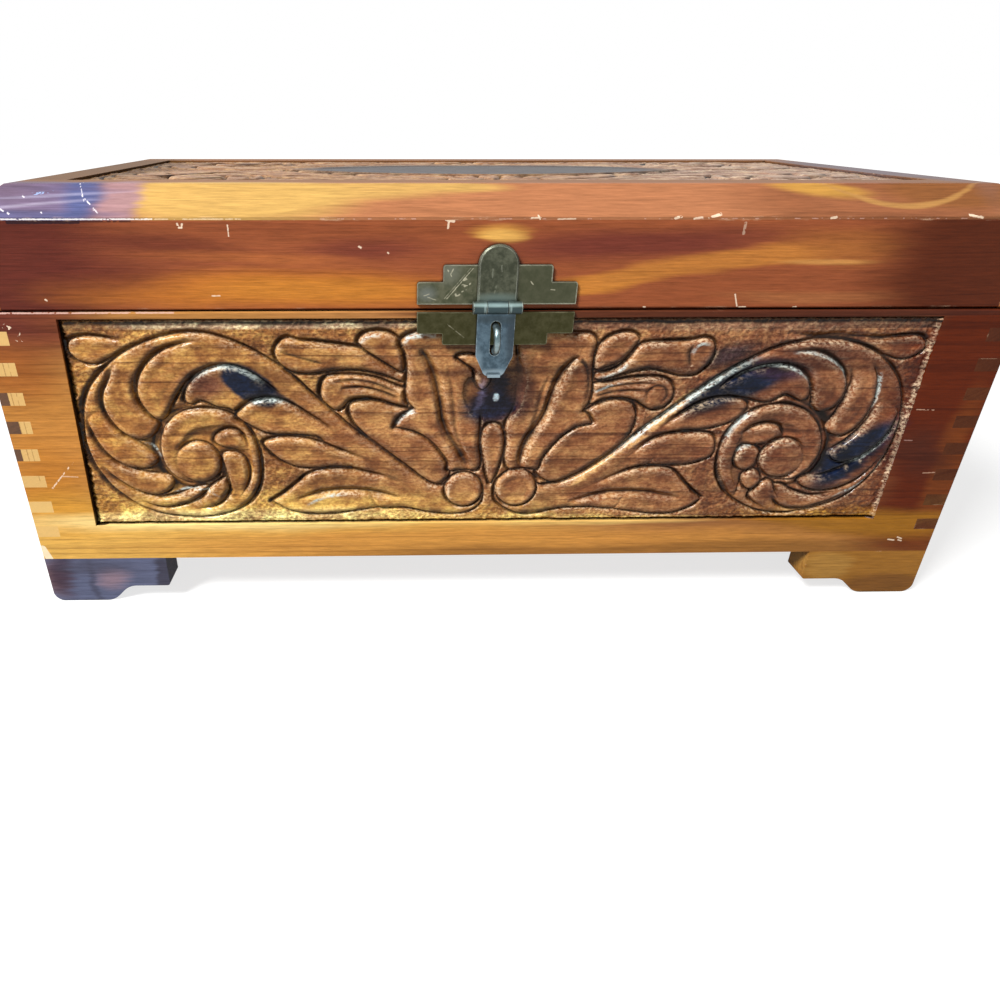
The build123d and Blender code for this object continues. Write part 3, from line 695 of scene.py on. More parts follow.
class Carving:
    """A carved panel as a grid of heights in mm, where 0 is the board's own face. Place is the way
    from a drawing's points to the panel's."""

    def __init__(self, x, z):
        self.x, self.z = np.meshgrid(x, z)
        self.height = np.zeros_like(self.x)
        self.stain_and_shade = np.zeros_like(self.x)  # old dark polish and painted shade
        self.matted = np.ones_like(self.x)  # marked by the punch, until a leaf is cut there
        self.torn = np.zeros_like(self.x)  # raw wood, and painted highlight on the right wall and the bosses' rims
        self.sheltered = np.zeros_like(self.x)  # kept from rubbing and from painted highlight
        self.painted_highlight = np.zeros_like(self.x)  # painted bluish highlight
        self.unevenness = soft_noise(self.x, self.z, 9.0, 40)  # of the cuts
        self.place = lambda points: points
        self.size = 1.0  # of cuts and shoulders, as a share of the given ones

    def window(self, line, reach):
        """The part of the grid within reach of a line."""
        low, high = line.min(0) - reach, line.max(0) + reach
        columns = np.searchsorted(self.x[0], (low[0], high[0]))
        rows = np.searchsorted(self.z[:, 0], (low[1], high[1]))
        return slice(*rows), slice(*columns)

    def measure(self, line, reach):
        """For the grid near a line: its window, the distance to the line, how far along, inside, and how far
        the point lies to the upper left of the line, from -1 to 1."""
        part = self.window(line, reach)
        x, z = self.x[part], self.z[part]
        best, along = np.full(x.shape, 1e9), np.zeros(x.shape)
        within = np.zeros(x.shape, bool)
        upper_left = np.zeros(x.shape)
        for n, ((ax, az), (bx, bz)) in enumerate(zip(line[:-1], line[1:])):
            dx, dz = bx - ax, bz - az
            t = np.clip(((x - ax) * dx + (z - az) * dz) / (dx * dx + dz * dz + 1e-9), 0, 1)
            gap = (x - ax - t * dx) ** 2 + (z - az - t * dz) ** 2
            nearer = gap < best
            best[nearer] = gap[nearer]
            along[nearer] = (n + t[nearer]) / (len(line) - 1)
            side = UPWARD * (z - az - t * dz) - LEFTWARD * (x - ax - t * dx)
            upper_left[nearer] = side[nearer] / np.sqrt(gap[nearer] + 1e-9)
            if az != bz:
                within ^= ((az > z) != (bz > z)) & (x < ax + (z - az) * dx / dz)
        return part, np.sqrt(best), along, within, upper_left

    def share(self, part, fade):
        """1 at the fade's start and 0 at its end, for a leaf that grows out of what it lies on."""
        if fade is None:
            return 1.0
        start, end = self.place(np.array(fade, float))
        way = end - start
        t = ((self.x[part] - start[0]) * way[0] + (self.z[part] - start[1]) * way[1]) / (way @ way)
        t = np.clip(1 - t, 0, 1)
        return t * t * (3 - 2 * t)

    def leaf(self, outline, top=HIGHEST, edge=-1.7, shoulder=2.3, cut=2.1, floor=-2.5, fade=None, dish=0.5,
             shade=1.0):
        """A rounded leaf with a V cut along its outline, filled with old polish and painted shade."""
        line = smooth_line(self.place(np.array(outline, float)), closed=True)
        shoulder, cut, bank = shoulder * self.size, cut * self.size, BANK * self.size
        part, gap, _, within, upper_left = self.measure(line, 1.4 * cut)
        share = self.share(part, fade)
        old = self.height[part]

        # outside its line a sloping cut, widest at the upper left, and inside it a shoulder and a swell
        cut = cut * (1 + 0.4 * upper_left + 0.2 * self.unevenness[part])
        wall = np.minimum(old, floor + gap / cut * (0.2 - floor))
        rise = 0.4 * shoulder_rise(gap / shoulder) + 0.6 * shoulder_rise(gap / (SWELL * shoulder))
        body = edge + (top - edge) * rise - dish * np.clip(gap / shoulder - 0.6, 0, 1)
        body -= (edge - floor) * np.clip(1 - gap / bank, 0, 1)
        self.height[part] = old + share * (np.where(within, body, np.where(gap < cut, wall, old)) - old)
        self.matted[part] = np.where(within, self.matted[part] * (1 - share), self.matted[part])
        self.sheltered[part] = np.where(within, self.sheltered[part] * (1 - share), self.sheltered[part])

        # old polish in the cut, and painted shadow in it that is widest at the upper left too
        reach = self.size * np.where(within, 0.26, 0.82 + 0.9 * upper_left + 0.25 * self.unevenness[part])
        dark = np.clip(2.3 - 1.85 * gap / np.maximum(reach, 0.1), 0, 1)
        dark = dark * shade * share * (0.85 + 0.15 * self.unevenness[part])
        lighter = np.where(within, self.stain_and_shade[part] * (1 - share), self.stain_and_shade[part])
        self.stain_and_shade[part] = np.maximum(lighter, dark)

    def cut(self, points, width=0.9, depth=0.8, blunt=0.25, stain_and_shade=0.8):
        """A V cut along an open line, which runs out at both ends."""
        line = smooth_line(self.place(np.array(points, float)))
        width, depth = 1.35 * width * self.size, 1.2 * depth
        part, gap, along, *_ = self.measure(line, width)
        ends = np.clip(np.minimum(along, 1 - along) / blunt, 0, 1) ** 0.5
        share = np.clip(1 - gap / (width * (0.3 + 0.7 * ends)), 0, 1) * ends
        self.height[part] -= depth * share
        self.stain_and_shade[part] = np.maximum(self.stain_and_shade[part], stain_and_shade * np.clip(share * 2.2 - 0.8, 0, 1))

    def round_boss(self, middle, radius, fade=None, dish=0.5, cut=2.1):
        """A round boss with a shallow dish in it."""
        turns = np.radians(np.arange(0, 360, 30))
        circle = np.array(middle) + radius * np.stack([np.cos(turns), np.sin(turns)], 1)
        self.leaf(circle, top=-0.1, edge=-1.4, shoulder=2.0, cut=cut, fade=fade, dish=dish, shade=0.6)

    def hollow(self, outline, depth, stain_and_shade=0.0):
        """A scooped hollow with soft sides."""
        line = smooth_line(self.place(np.array(outline, float)), closed=True)
        part, gap, _, within, _ = self.measure(line, 0.5)
        inside = np.where(within, shoulder_rise(gap / (4.5 * self.size)), 0)
        self.height[part] = self.height[part] * (1 - inside) + (-depth) * inside
        self.stain_and_shade[part] = np.maximum(self.stain_and_shade[part] * (1 - inside), stain_and_shade * inside)
        self.sheltered[part] = np.maximum(self.sheltered[part], within | (gap < 0.4))

    def mat_ground(self, level, seed):
        """Ground sunk to that level, matted all over with a punch."""
        pits = soft_noise(self.x, self.z, 0.85, seed) + 0.8 * soft_noise(self.x, self.z, 2.6, seed + 1)
        self.height[:] = level + 0.2 * pits
        self.stain_and_shade[:] = 0.25 * np.clip(-pits - 0.3, 0, 1)

    def averaged(self, reach):
        """The heights averaged over squares of that many grid steps each way, three times over."""
        soft = self.height
        for _ in range(3):
            for axis in (0, 1):
                sums = sum(np.roll(soft, shift, axis) for shift in range(-reach, reach + 1))
                soft = sums / (2 * reach + 1)
        return soft

    def facing(self, height):
        """How steeply each place faces the upper left, where the light comes from, from -1 to 1."""
        step_z, step_x = self.z[1, 0] - self.z[0, 0], self.x[0, 1] - self.x[0, 0]
        up, across = np.gradient(height, step_z, step_x)
        return np.clip(LEFTWARD * across - UPWARD * up, -1, 1)

    def touch(self, layer, points, width):
        """Lays a soft streak of that width into a layer, such as painted highlight, running out at both ends.
        """
        line = smooth_line(self.place(np.array(points, float)))
        part, gap, along, *_ = self.measure(line, width)
        ends = np.clip(4 * np.minimum(along, 1 - along), 0, 1)
        patchy = 0.75 + 0.5 * soft_noise(self.x[part], self.z[part], 1.3, 77)
        layer[part] = np.maximum(layer[part], np.clip((1.5 - 2 * gap / width) * patchy, 0, 1) * ends)

    def rubbed_and_lit_places(self):
        """Pale where it stands high or is torn, and painted highlight where it faces the light."""
        patchy = 0.6 + 0.4 * soft_noise(self.x, self.z, 3.0, 90)
        high = np.clip((self.height - self.averaged(3)) / 0.5, 0, 1)
        sides = np.clip(1.8 * self.facing(self.height) - 0.7, 0, 1)
        swell = 0.3 * np.clip(2.5 * self.facing(self.averaged(2)) - 0.1, 0, 1) * (1 - self.matted)
        rubbed_and_highlit = np.clip(0.35 * high + sides + swell, 0, 1) * (1 - self.sheltered)
        return np.clip(rubbed_and_highlit + self.torn, 0, 1) * patchy * (1 - self.stain_and_shade)

    def darken_hollows_and_shaded_sides(self, amount, seed):
        """Old polish and painted shade low down and on sides turned from the light, and blotches of polish.
        """
        low = np.clip((self.averaged(4) - self.height) / 0.7, 0, 1)
        blotches = soft_noise(self.x / 1.7, self.z, 5.0, seed)
        blotches += 0.7 * soft_noise(self.x / 1.4, self.z, 1.6, seed + 1)
        self.stain_and_shade = np.maximum(self.stain_and_shade, amount * low)
        self.stain_and_shade = self.stain_and_shade * np.clip(1.15 - 1.4 * np.clip(self.facing(self.height), 0, 1), 0.15, 1)
        away = np.clip(-2.6 * self.facing(self.averaged(2)) - 0.12, 0, 1) * (1 - 0.5 * self.matted)
        self.stain_and_shade = np.maximum(self.stain_and_shade, 0.68 * away)
        self.stain_and_shade = np.clip(self.stain_and_shade + 0.26 * np.clip(blotches - 0.1, 0, 1), 0, 1)

    def finish_tooling(self, seed):
        """Small facets of the gouge and the lift of the grain, over everything."""
        facets = 0.12 * soft_noise(self.x / 1.5, self.z, 3.2, seed)
        self.height += facets + 0.08 * soft_noise(self.x / 1.8, self.z, 0.9, seed + 1)


def carve_left_half(panel):
    """The left scroll with its stem, petals and leaves."""
    panel.leaf([(-108, -9.8), (-116, -8.6), (-123, -7.6), (-128.3, -9), (-128.8, -12.6), (-126, -15.5),
                (-121.5, -16.2), (-117, -14.3), (-111, -12.5)],
               top=-0.7, fade=((-119, -11), (-110, -11)))
    panel.leaf([(-16.5, -58.8), (-20.5, -58.5), (-24, -56.2), (-28, -52.8), (-34, -47.8), (-40, -42.9),
                (-44, -39.7), (-48, -36), (-53, -31.1), (-58.5, -25.7), (-63, -20.9), (-68.5, -16.3),
                (-75, -12.1), (-82, -8.9), (-89, -6.9), (-97, -7.0), (-105, -9), (-112, -12), (-118, -16.2),
                (-123.5, -21.7), (-127, -28.2), (-128.6, -36), (-128.7, -44), (-127, -51.5),
                (-123.5, -58.7), (-118, -64.6), (-111, -68.1), (-103, -69.7), (-95, -69.8), (-88, -68.3),
                (-82, -65.6), (-78, -61.3), (-75.8, -56), (-75.2, -50), (-75.7, -44), (-77.5, -39),
                (-80, -35), (-73, -31), (-66, -34), (-59, -39), (-52, -46), (-45, -54), (-41, -61),
                (-38, -67), (-32, -66.9), (-27, -67.6), (-22, -68.8), (-17, -69.5), (-12, -69.5),
                (-8, -68.7), (-5, -66.6), (-3.6, -63.5), (-4.3, -58), (-9, -54.6), (-14, -56)],
               top=-0.5, edge=-1.4, shoulder=3.4)
    # the deep crescent round the inner curl
    panel.cut([(-93, -29.5), (-101, -32), (-106, -36), (-108.8, -42), (-109, -48), (-107, -54),
               (-102, -58.4), (-94, -60.5)], width=2.8, depth=1.6, stain_and_shade=1.0)
    # petals of the outer curl, from the rim inward
    panel.leaf([(-118, -60.2), (-114.5, -64.2), (-108.5, -66), (-102, -64.8), (-97, -62.6), (-94, -59.9),
                (-93.6, -58.3), (-97.5, -58.9), (-103, -61), (-109, -62.3), (-114, -61)],
               fade=((-108, -64), (-118, -61)))
    panel.leaf([(-126.3, -46.5), (-124.3, -52.5), (-120.5, -57), (-116, -60.1), (-111, -61.4),
                (-106.8, -60.2), (-104.3, -57.4), (-105.2, -55.2), (-109, -53.9), (-114, -52.8),
                (-119, -50.6), (-122.5, -47.5)],
               fade=((-119, -55), (-127, -47)))
    panel.leaf([(-127, -34), (-126.5, -39), (-124.8, -44), (-121.8, -48.4), (-118, -51), (-114, -51.8),
                (-110.5, -51.1), (-108.4, -49.3), (-108.4, -47.6), (-111, -44.6), (-115, -41),
                (-119, -36.5), (-121.5, -31)],
               fade=((-122.5, -39), (-124.5, -29)))
    panel.leaf([(-115, -15), (-119.3, -21.5), (-121.6, -26), (-121.8, -31), (-120, -36), (-116.5, -39.9),
                (-113, -41.4), (-109.5, -40.9), (-107, -38.4), (-105.9, -35.6), (-108, -33.5),
                (-110.5, -30), (-111.8, -26), (-111.5, -21), (-108.5, -16)],
               fade=((-116.5, -25), (-112.5, -14.5)))
    panel.leaf([(-90, -9.5), (-98, -10.7), (-103.5, -13.3), (-108.3, -18), (-110.8, -23), (-111, -27.5),
                (-109.3, -31.4), (-107, -34), (-104.9, -34.7), (-102.9, -33), (-100.8, -29.3),
                (-98.3, -25.4), (-95.5, -22), (-91, -19), (-84, -17.3), (-80, -14)],
               fade=((-98, -18), (-85, -11)))
    # the inner curl, its eye and its petals
    panel.leaf([(-104, -67.8), (-97, -66.6), (-92, -65.4), (-88.6, -63.1), (-86.8, -60), (-86.6, -57),
                (-87.4, -55.3), (-90.5, -56.8), (-93.2, -59), (-96, -62.6), (-100, -65.5)],
               fade=((-92, -62), (-101, -66.5)))
    panel.leaf([(-84.5, -66.3), (-79.5, -62.7), (-76.6, -57.5), (-75.6, -51), (-76, -44.5), (-77.8, -39),
                (-81.2, -34.6), (-86, -31.9), (-92, -31), (-98, -31.9), (-103, -35.1), (-106, -40),
                (-107, -46), (-105.9, -51.5), (-102.5, -55.4), (-98, -57.1), (-93.5, -57),
                (-90.3, -55.2), (-88.6, -52), (-87, -56), (-86, -60), (-88, -63.5)],
               top=-0.2, edge=-1.3, shoulder=2.4, fade=((-84, -60), (-87, -68)))
    panel.hollow([(-99.3, -42.8), (-98.3, -39.7), (-95, -37.5), (-90, -36.5), (-85, -36.3), (-81, -38),
                  (-78.9, -42), (-78.3, -48), (-79.2, -54), (-82, -59.5), (-85.3, -62.5), (-86.5, -57),
                  (-87.6, -52), (-89.5, -45), (-94, -42.3)], depth=1.9, stain_and_shade=0.15)
    panel.leaf([(-87.7, -46.8), (-84.2, -46), (-81.2, -47.4), (-79.6, -50.5), (-79.8, -55), (-81.6, -59.5),
                (-84.5, -62.5), (-86, -60), (-86.4, -56.5), (-87.3, -52)],
               shoulder=2.2, fade=((-83, -55), (-84.5, -63.5)))
    panel.leaf([(-89.8, -41.8), (-88, -39.2), (-84.8, -38), (-81.6, -39), (-79.6, -42), (-79, -45.5),
                (-81, -46), (-84.2, -44.7), (-87.5, -43.9)],
               shoulder=2.0, fade=((-82.5, -41.5), (-78.5, -46)))
    panel.round_boss((-95.3, -49.5), 7.2, fade=((-97.5, -49.3), (-104, -50)), dish=0.1)
    # the dark petal over the curl, then the three leaves under the stem
    panel.leaf([(-97, -27.3), (-96, -24), (-93, -20.6), (-89, -18.1), (-84.5, -17.1), (-80, -17.7),
                (-75.5, -19.9), (-71.5, -23.1), (-67.5, -26.6), (-64, -30), (-67.5, -28.5),
                (-71.5, -27.3), (-75.5, -27.9), (-79, -29.9), (-81.8, -32), (-84, -31), (-87.5, -30.4),
                (-90.5, -28.8), (-92.5, -28.3), (-95, -29.6), (-96.7, -28.8)],
               top=-0.45, fade=((-73, -23.5), (-65, -29)))
    panel.leaf([(-81.8, -33.5), (-79.8, -30.9), (-76.5, -28.7), (-72, -27.8), (-68, -28.3), (-64, -30.1),
                (-60, -32.8), (-55, -36.4), (-50, -40.5), (-47, -44), (-53, -42.2), (-58, -40.7),
                (-64, -40), (-70, -39.8), (-74.5, -38.7), (-78.5, -36.3)],
               top=-0.3, fade=((-59, -36), (-50, -41)))
    panel.leaf([(-74.3, -42.9), (-71, -41.3), (-66, -40.9), (-61, -41.5), (-56, -43.1), (-51, -45.3),
                (-45, -47.8), (-38, -50.7), (-33, -53.5), (-40, -52.6), (-46, -51.7), (-52, -51.5),
                (-57, -51.9), (-62, -51.8), (-66.5, -50.7), (-70, -48.4), (-72.5, -45.9)],
               top=-0.35, fade=((-52, -48), (-38, -51.5)))
    panel.leaf([(-73.2, -64.2), (-73.2, -64.2), (-69, -61.4), (-65, -57.9), (-61.5, -54.8), (-57.5, -53),
                (-52, -52.5), (-46, -52.9), (-40, -54.3), (-33, -56.4), (-26, -60), (-30, -66.8),
                (-38, -67), (-44, -67.8), (-50, -68.7), (-57, -69.3), (-63, -68.9), (-68.5, -67.4)],
               top=-0.35, fade=((-46, -60), (-28, -63)))
    panel.cut([(-65, -63.6), (-61, -62.2), (-56, -60.8), (-50, -60.2), (-44, -60.4), (-38, -61.4),
               (-31, -63.2)], width=1.3, depth=1.3)
    panel.cut([(-67, -12.3), (-60, -14.6), (-53, -16.6)], width=0.7, depth=0.4)
    panel.round_boss((-10, -60.4), 6.3, dish=0.5, cut=1.3)


def carve_right_half(panel):
    """The right scroll. The same drawing turned over, cut by eye."""
    panel.leaf([(108, -10.8), (114, -9.8), (120, -8.8), (125, -8.5), (128.3, -10), (128.2, -12.9),
                (125.5, -15.1), (122, -15.8), (118, -14.8), (112, -12.8)],
               top=-0.7, fade=((119, -11), (110, -11)))
    panel.leaf([(14.5, -58.8), (18, -58.9), (22, -58), (26.5, -55.6), (31, -52.8), (36, -48.9),
                (40.5, -44.8), (45, -40.5), (50, -36.1), (55, -31.6), (60, -27.4), (64.8, -23.5),
                (69.6, -20), (75.4, -16.2), (81.4, -13), (88, -10.8), (95, -9.8), (103, -10.1), (110, -11.9),
                (116, -14.8), (121, -19), (124.8, -24), (127.2, -30), (128.3, -36.5), (128.3, -43),
                (126.9, -50), (124, -56.8), (119.5, -62.6), (114, -66.3), (107, -68.9), (99, -70.1),
                (91, -69.5), (84, -66.7), (78, -62.3), (74.6, -57.5), (72.8, -51.5), (72.6, -45),
                (74, -39.7), (77, -35), (79, -32), (73, -31.5), (66, -34.5), (60, -39), (55, -44.5),
                (50, -51), (46, -58), (43, -64), (40, -68), (32, -67.4), (25, -67.5), (20, -68.2),
                (15, -69.5), (10, -69.9), (6, -68.8), (2.6, -66.6), (0.4, -63.5), (1, -57), (7, -54),
                (13, -56)],
               top=-0.5, edge=-1.4, shoulder=3.4)
    panel.cut([(92, -29), (99, -31.5), (104, -35.3), (107.5, -41), (108, -48), (106.5, -54),
               (102, -58.5), (94, -61)], width=2.6, depth=1.5, stain_and_shade=1.0)
    panel.leaf([(92.9, -60.4), (95.5, -59.4), (100, -61.9), (106, -63.8), (112, -63.1), (118, -60.3),
                (115.5, -64), (110, -67), (104, -68.5), (98, -67.9), (94.5, -64.8)],
               fade=((107, -65.5), (118, -61.5)))
    panel.leaf([(124.7, -51.5), (121, -56.6), (116, -60.1), (110.5, -61.7), (105, -61.1), (101.7, -59.2),
                (101.2, -57.2), (103.7, -56.1), (108, -56.3), (113, -54.2), (118, -51), (122.5, -47.5),
                (126, -45)],
               fade=((117, -55.5), (126.5, -46.5)))
    panel.leaf([(126.3, -32), (126.5, -38), (125, -42.5), (122, -46.7), (118.5, -49.7), (114.5, -51.2),
                (111, -50.7), (108.9, -48.8), (109.2, -46.8), (112.5, -44.1), (116, -40.1), (118.4, -35.5),
                (119.8, -30)],
               fade=((121.5, -39), (124, -27)))
    panel.leaf([(111.5, -15), (115, -18.5), (117.3, -23), (118, -28.5), (117.4, -33.5), (115.5, -37.9),
                (112.3, -40.9), (109, -41.6), (106.2, -40.2), (105.7, -38.3), (107.5, -33), (109, -28),
                (109.3, -22.5), (107.5, -16.5)],
               fade=((114, -25), (111, -14.5)))
    panel.leaf([(86, -13.7), (91, -13.3), (96, -13.5), (100.5, -15.3), (104.5, -18.3), (107.2, -22),
                (108, -26), (107, -30), (104.5, -32.6), (101.5, -33.4), (99.2, -31.4), (98.3, -28),
                (97, -24.3), (94, -20.4), (89, -18), (83, -17)],
               fade=((95, -19), (84, -14)))
    panel.leaf([(85.8, -63.4), (87.6, -60), (90.2, -57.7), (92.6, -58.5), (94.2, -61.5), (96.5, -65.5),
                (98, -69), (92, -68.2), (88, -66)],
               fade=((91, -62), (95.5, -68)))
    panel.leaf([(80, -63.4), (75.4, -57.5), (73.3, -51.5), (73.1, -45), (74.6, -39.8), (77.6, -35.2),
                (82, -32), (88, -30.8), (94, -31.6), (99.5, -34.2), (103.3, -38.6), (105.4, -44),
                (105.2, -49.5), (102.7, -54.2), (98.5, -57), (93.5, -57.2), (89.6, -55.3), (86.8, -51.5),
                (84, -55), (81.5, -59)],
               top=-0.2, edge=-1.3, shoulder=2.4, fade=((80, -56), (81, -66)))
    panel.hollow([(77.8, -43), (77.2, -49), (77.8, -55), (80.5, -60), (83.5, -57), (86.5, -52), (86.3, -46),
                  (89.5, -42.8), (94, -42.3), (97.5, -41), (94.5, -37.8), (90.5, -36.8), (86, -36.3),
                  (81.5, -37.5)], depth=1.9, stain_and_shade=0.15)
    panel.leaf([(78.0, -50), (78.5, -46.6), (80.3, -45), (83.3, -45.1), (85.6, -46.6), (85.9, -50),
                (84, -53), (81.4, -54), (79.2, -52.6)], shoulder=2.0, cut=1.5)
    panel.leaf([(81.9, -57.4), (82.3, -54.9), (84.3, -53.5), (86.9, -54.3), (88.2, -56.6), (87.6, -59.4),
                (85.6, -61.2), (83.2, -60)], shoulder=1.8, cut=1.4)
    panel.leaf([(79, -40.5), (82, -38.2), (86, -37.3), (90, -38.3), (92, -41), (91.3, -42.6), (88, -43.8),
                (83, -44.6), (79, -43.8)],
               shoulder=2.0, fade=((83.5, -41), (78, -43.5)))
    panel.round_boss((93.4, -49.6), 7.0, fade=((95.5, -49.4), (101.8, -50)), dish=0.1)
    panel.leaf([(97.2, -26.5), (95.8, -22.6), (92.5, -19.4), (88, -17.8), (83, -17.9), (78, -19.1),
                (73.5, -21.2), (69, -24.2), (63, -29.5), (66.5, -28.9), (71, -27.7), (77, -28.4),
                (81.5, -29.6), (85, -29.7), (89, -27.4), (92, -28.3), (94.8, -29.6), (96.8, -28.8)],
               top=-0.45, fade=((75, -23.5), (65, -28.5)))
    panel.leaf([(50, -40), (54, -36.7), (58.5, -33.2), (62, -30.8), (66, -29), (70.5, -28.3), (75, -28.7),
                (78.3, -30.3), (77.9, -33), (75.9, -35.4), (72.5, -37.2), (68, -38.6), (62, -39.4),
                (56, -39.8), (50, -41.5)],
               top=-0.3, fade=((60, -36), (51, -40.5)))
    panel.leaf([(38, -52.5), (45, -46.7), (50, -42.7), (55, -40.9), (61, -40.3), (66, -40.3), (69.5, -41.4),
                (70.9, -45), (70.2, -48.4), (67, -50.3), (62, -51.6), (56, -51.8), (50, -51.5), (44, -52.5)],
               top=-0.35, fade=((54, -47), (42, -51.5)))
    panel.leaf([(69.8, -64.3), (69.8, -64.3), (66.5, -61.8), (63, -58.3), (60, -55), (57, -53.2),
                (52, -52.6), (46, -53.2), (41, -54.9), (35, -57.7), (28, -61.5), (28, -66.5), (33, -67.3),
                (40, -68.1), (47, -69.2), (54, -70.2), (60, -70.1), (64, -68.9), (67.4, -66.9)],
               top=-0.35, fade=((47, -61), (29, -64)))
    panel.cut([(62.5, -63.9), (57, -63.2), (51, -62), (45, -61.6), (39, -61.9), (33, -63.2), (25, -65.2)],
              width=1.3, depth=1.2)
    panel.cut([(85, -7.2), (93, -8.3), (100, -8.1), (108, -8.8), (114, -9), (122, -8.1)],
              width=1.2, depth=1.0)
    panel.round_boss((7.2, -59.8), 6.8, dish=0.7, cut=1.3)


def carve_middle(panel):
    """The leaves that spread from the two bosses, and the bud between them."""
    panel.leaf([(-64.3, -8.3), (-67, -10), (-68.3, -13), (-67, -16.4), (-63.5, -19), (-59, -19.6),
                (-53, -19.1), (-47, -18.4), (-42, -18.7), (-36, -20.1), (-29, -22.5), (-29, -19),
                (-33, -18), (-37, -15.6), (-41, -12.9), (-44, -11.4), (-50, -10.6), (-57, -9.7), (-61, -9.2)])
    panel.leaf([(-54.8, -23.5), (-53.3, -20.9), (-50, -20.2), (-44, -20.2), (-38, -21.4), (-33, -23.4),
                (-28.5, -25.5), (-28, -28), (-29, -31.5), (-32, -30.2), (-37, -28.6), (-42, -27.8),
                (-46.5, -29), (-48.5, -30.9), (-51, -31.7), (-53.8, -29.9), (-55.1, -27)])
    panel.cut([(-51, -22), (-44, -21.8), (-38, -23.1), (-31, -26)], width=0.9, depth=0.9)
    panel.cut([(-49, -24.3), (-43, -24), (-37, -25.3), (-31, -28)], width=0.9, depth=0.9)
    panel.leaf([(-43.2, -9.5), (-41.3, -7.3), (-37.5, -6.5), (-33.5, -7.3), (-30.8, -9.5), (-29.5, -13),
                (-29, -17), (-30.3, -19.3), (-34, -17.2), (-38, -14.5), (-41.5, -12)])
    panel.leaf([(29.3, -20.2), (32.5, -19.6), (36, -17.9), (38.8, -14.9), (41, -11.4), (44, -10.2),
                (50, -10), (57, -9.7), (61, -8.8), (64, -10.3), (64.5, -13.8), (63, -17.4), (60, -20.2),
                (55.5, -20.8), (51, -19.7), (46, -18.6), (41, -19.2), (36, -20.6), (30, -22.3)])
    panel.leaf([(28, -24), (34, -23), (39, -21.9), (44, -21.4), (49, -21.4), (52.5, -22.8), (54.3, -26),
                (53.5, -29.4), (51, -31.6), (47.5, -32), (45, -30.6), (42.5, -29.1), (38, -28.1),
                (33, -28.4), (28, -30)])
    panel.cut([(29, -25.6), (35, -24.3), (41, -23.4), (48, -23.3)], width=0.9, depth=0.8)
    panel.cut([(29, -27.4), (35, -26), (41, -25.5), (46, -26)], width=0.8, depth=0.6)
    panel.cut([(46.3, -29.5), (45.8, -26.5), (48, -24), (51, -24.6), (52, -27.5), (50, -30)],
              width=0.8, depth=0.5)
    panel.cut([(57.5, -10.6), (56.8, -14), (57.8, -18)], width=0.9, depth=0.5)
    panel.leaf([(29, -12), (31, -9.2), (34.5, -7.4), (38.5, -7.2), (41, -8.8), (40.3, -11), (38.2, -14.2),
                (35.5, -16.6), (32, -18), (29, -19), (28, -15.5)])
    # the two big lower leaves
    panel.leaf([(-46.7, -31.2), (-45.3, -29.1), (-41, -28.6), (-37, -29.1), (-33, -30.5), (-28, -31.6),
                (-22, -33), (-16, -48), (-14.6, -54), (-16.5, -57.4), (-19, -58.4), (-23, -56.3),
                (-28, -52.1), (-33, -47.8), (-38, -43.6), (-42.5, -39.6), (-45.5, -35.6)],
               top=-0.3, shoulder=3.2)
    panel.leaf([(27.2, -32.4), (31, -30.1), (35, -28.9), (39, -29.1), (42.2, -30.6), (43.6, -34),
                (43, -38.5), (40.8, -43), (36.8, -47.2), (32, -51.1), (27, -54.6), (22.5, -57.2),
                (19, -57.9), (15.8, -56.6), (13.3, -53.6), (14, -49), (20, -38), (22, -34)],
               top=-0.3, shoulder=3.2)
    # the tall leaves beside the hasp, each with a deep rib
    panel.leaf([(-30.4, -9.6), (-28, -7.5), (-24, -6.5), (-16, -6.5), (-8, -6.5), (-5, -9), (-5, -14),
                (-5.5, -37.5), (-5.5, -44), (-4.6, -50), (-6, -53.2), (-10, -53), (-15, -53.4),
                (-15.4, -50.5), (-18, -46.3), (-21, -42.8), (-25, -39.9), (-29, -38.4), (-32.4, -37.7),
                (-32.4, -37.7), (-31, -34.9), (-28.5, -32.8), (-26.2, -31.7), (-26.2, -31.7), (-28.3, -29),
                (-28.9, -25), (-28.5, -19), (-29, -14)],
               top=-0.25, shoulder=2.8)
    panel.leaf([(5, -6.5), (15, -6.5), (22, -7.4), (26, -7.5), (28.5, -9.8), (28, -15), (28.3, -21),
                (28.7, -26), (28, -30), (26.6, -32.3), (26.6, -32.3), (28.6, -34), (30.2, -36.7),
                (30.2, -36.7), (25, -38), (21, -40.9), (17.8, -44.6), (15, -49.3), (13.8, -53), (9, -52.6),
                (4.6, -53), (3, -49), (3.2, -42), (2.5, -37), (5, -30), (5, -14), (4, -9)],
               top=-0.25, shoulder=2.8)
    for side, rib in (
        (-1, [(-24.6, -11.8), (-22.2, -15.7), (-20.2, -20.5), (-18.9, -26), (-18, -31), (-17.3, -35.5),
              (-15.4, -40.5), (-12.8, -45), (-10.6, -49), (-8.8, -52.8)]),
        (1, [(23.4, -14.2), (19.9, -18.3), (17.5, -23), (16.1, -28), (15.2, -32), (13.6, -36),
             (11.3, -40), (9.3, -44.5), (8.3, -49), (8.2, -52.5)]),
    ):
        panel.cut(rib, width=1.5, depth=1.5, blunt=0.12)
        inner = [(x * 0.72 + side * (0.3 - 0.02 * z), z - 2) for x, z in rib[1:-1]]
        panel.cut(inner, width=0.9, depth=0.5, stain_and_shade=0.4)
    panel.leaf([(22.6, -15.6), (25.5, -17.5), (26.8, -22), (27, -27), (25.5, -31.2), (20, -32), (16.9, -32),
                (17.5, -28), (18.6, -23.5), (20.4, -19)],
               top=-0.3, edge=-0.9, cut=0.6, floor=-1.1, fade=((21.5, -24), (21.5, -34)))
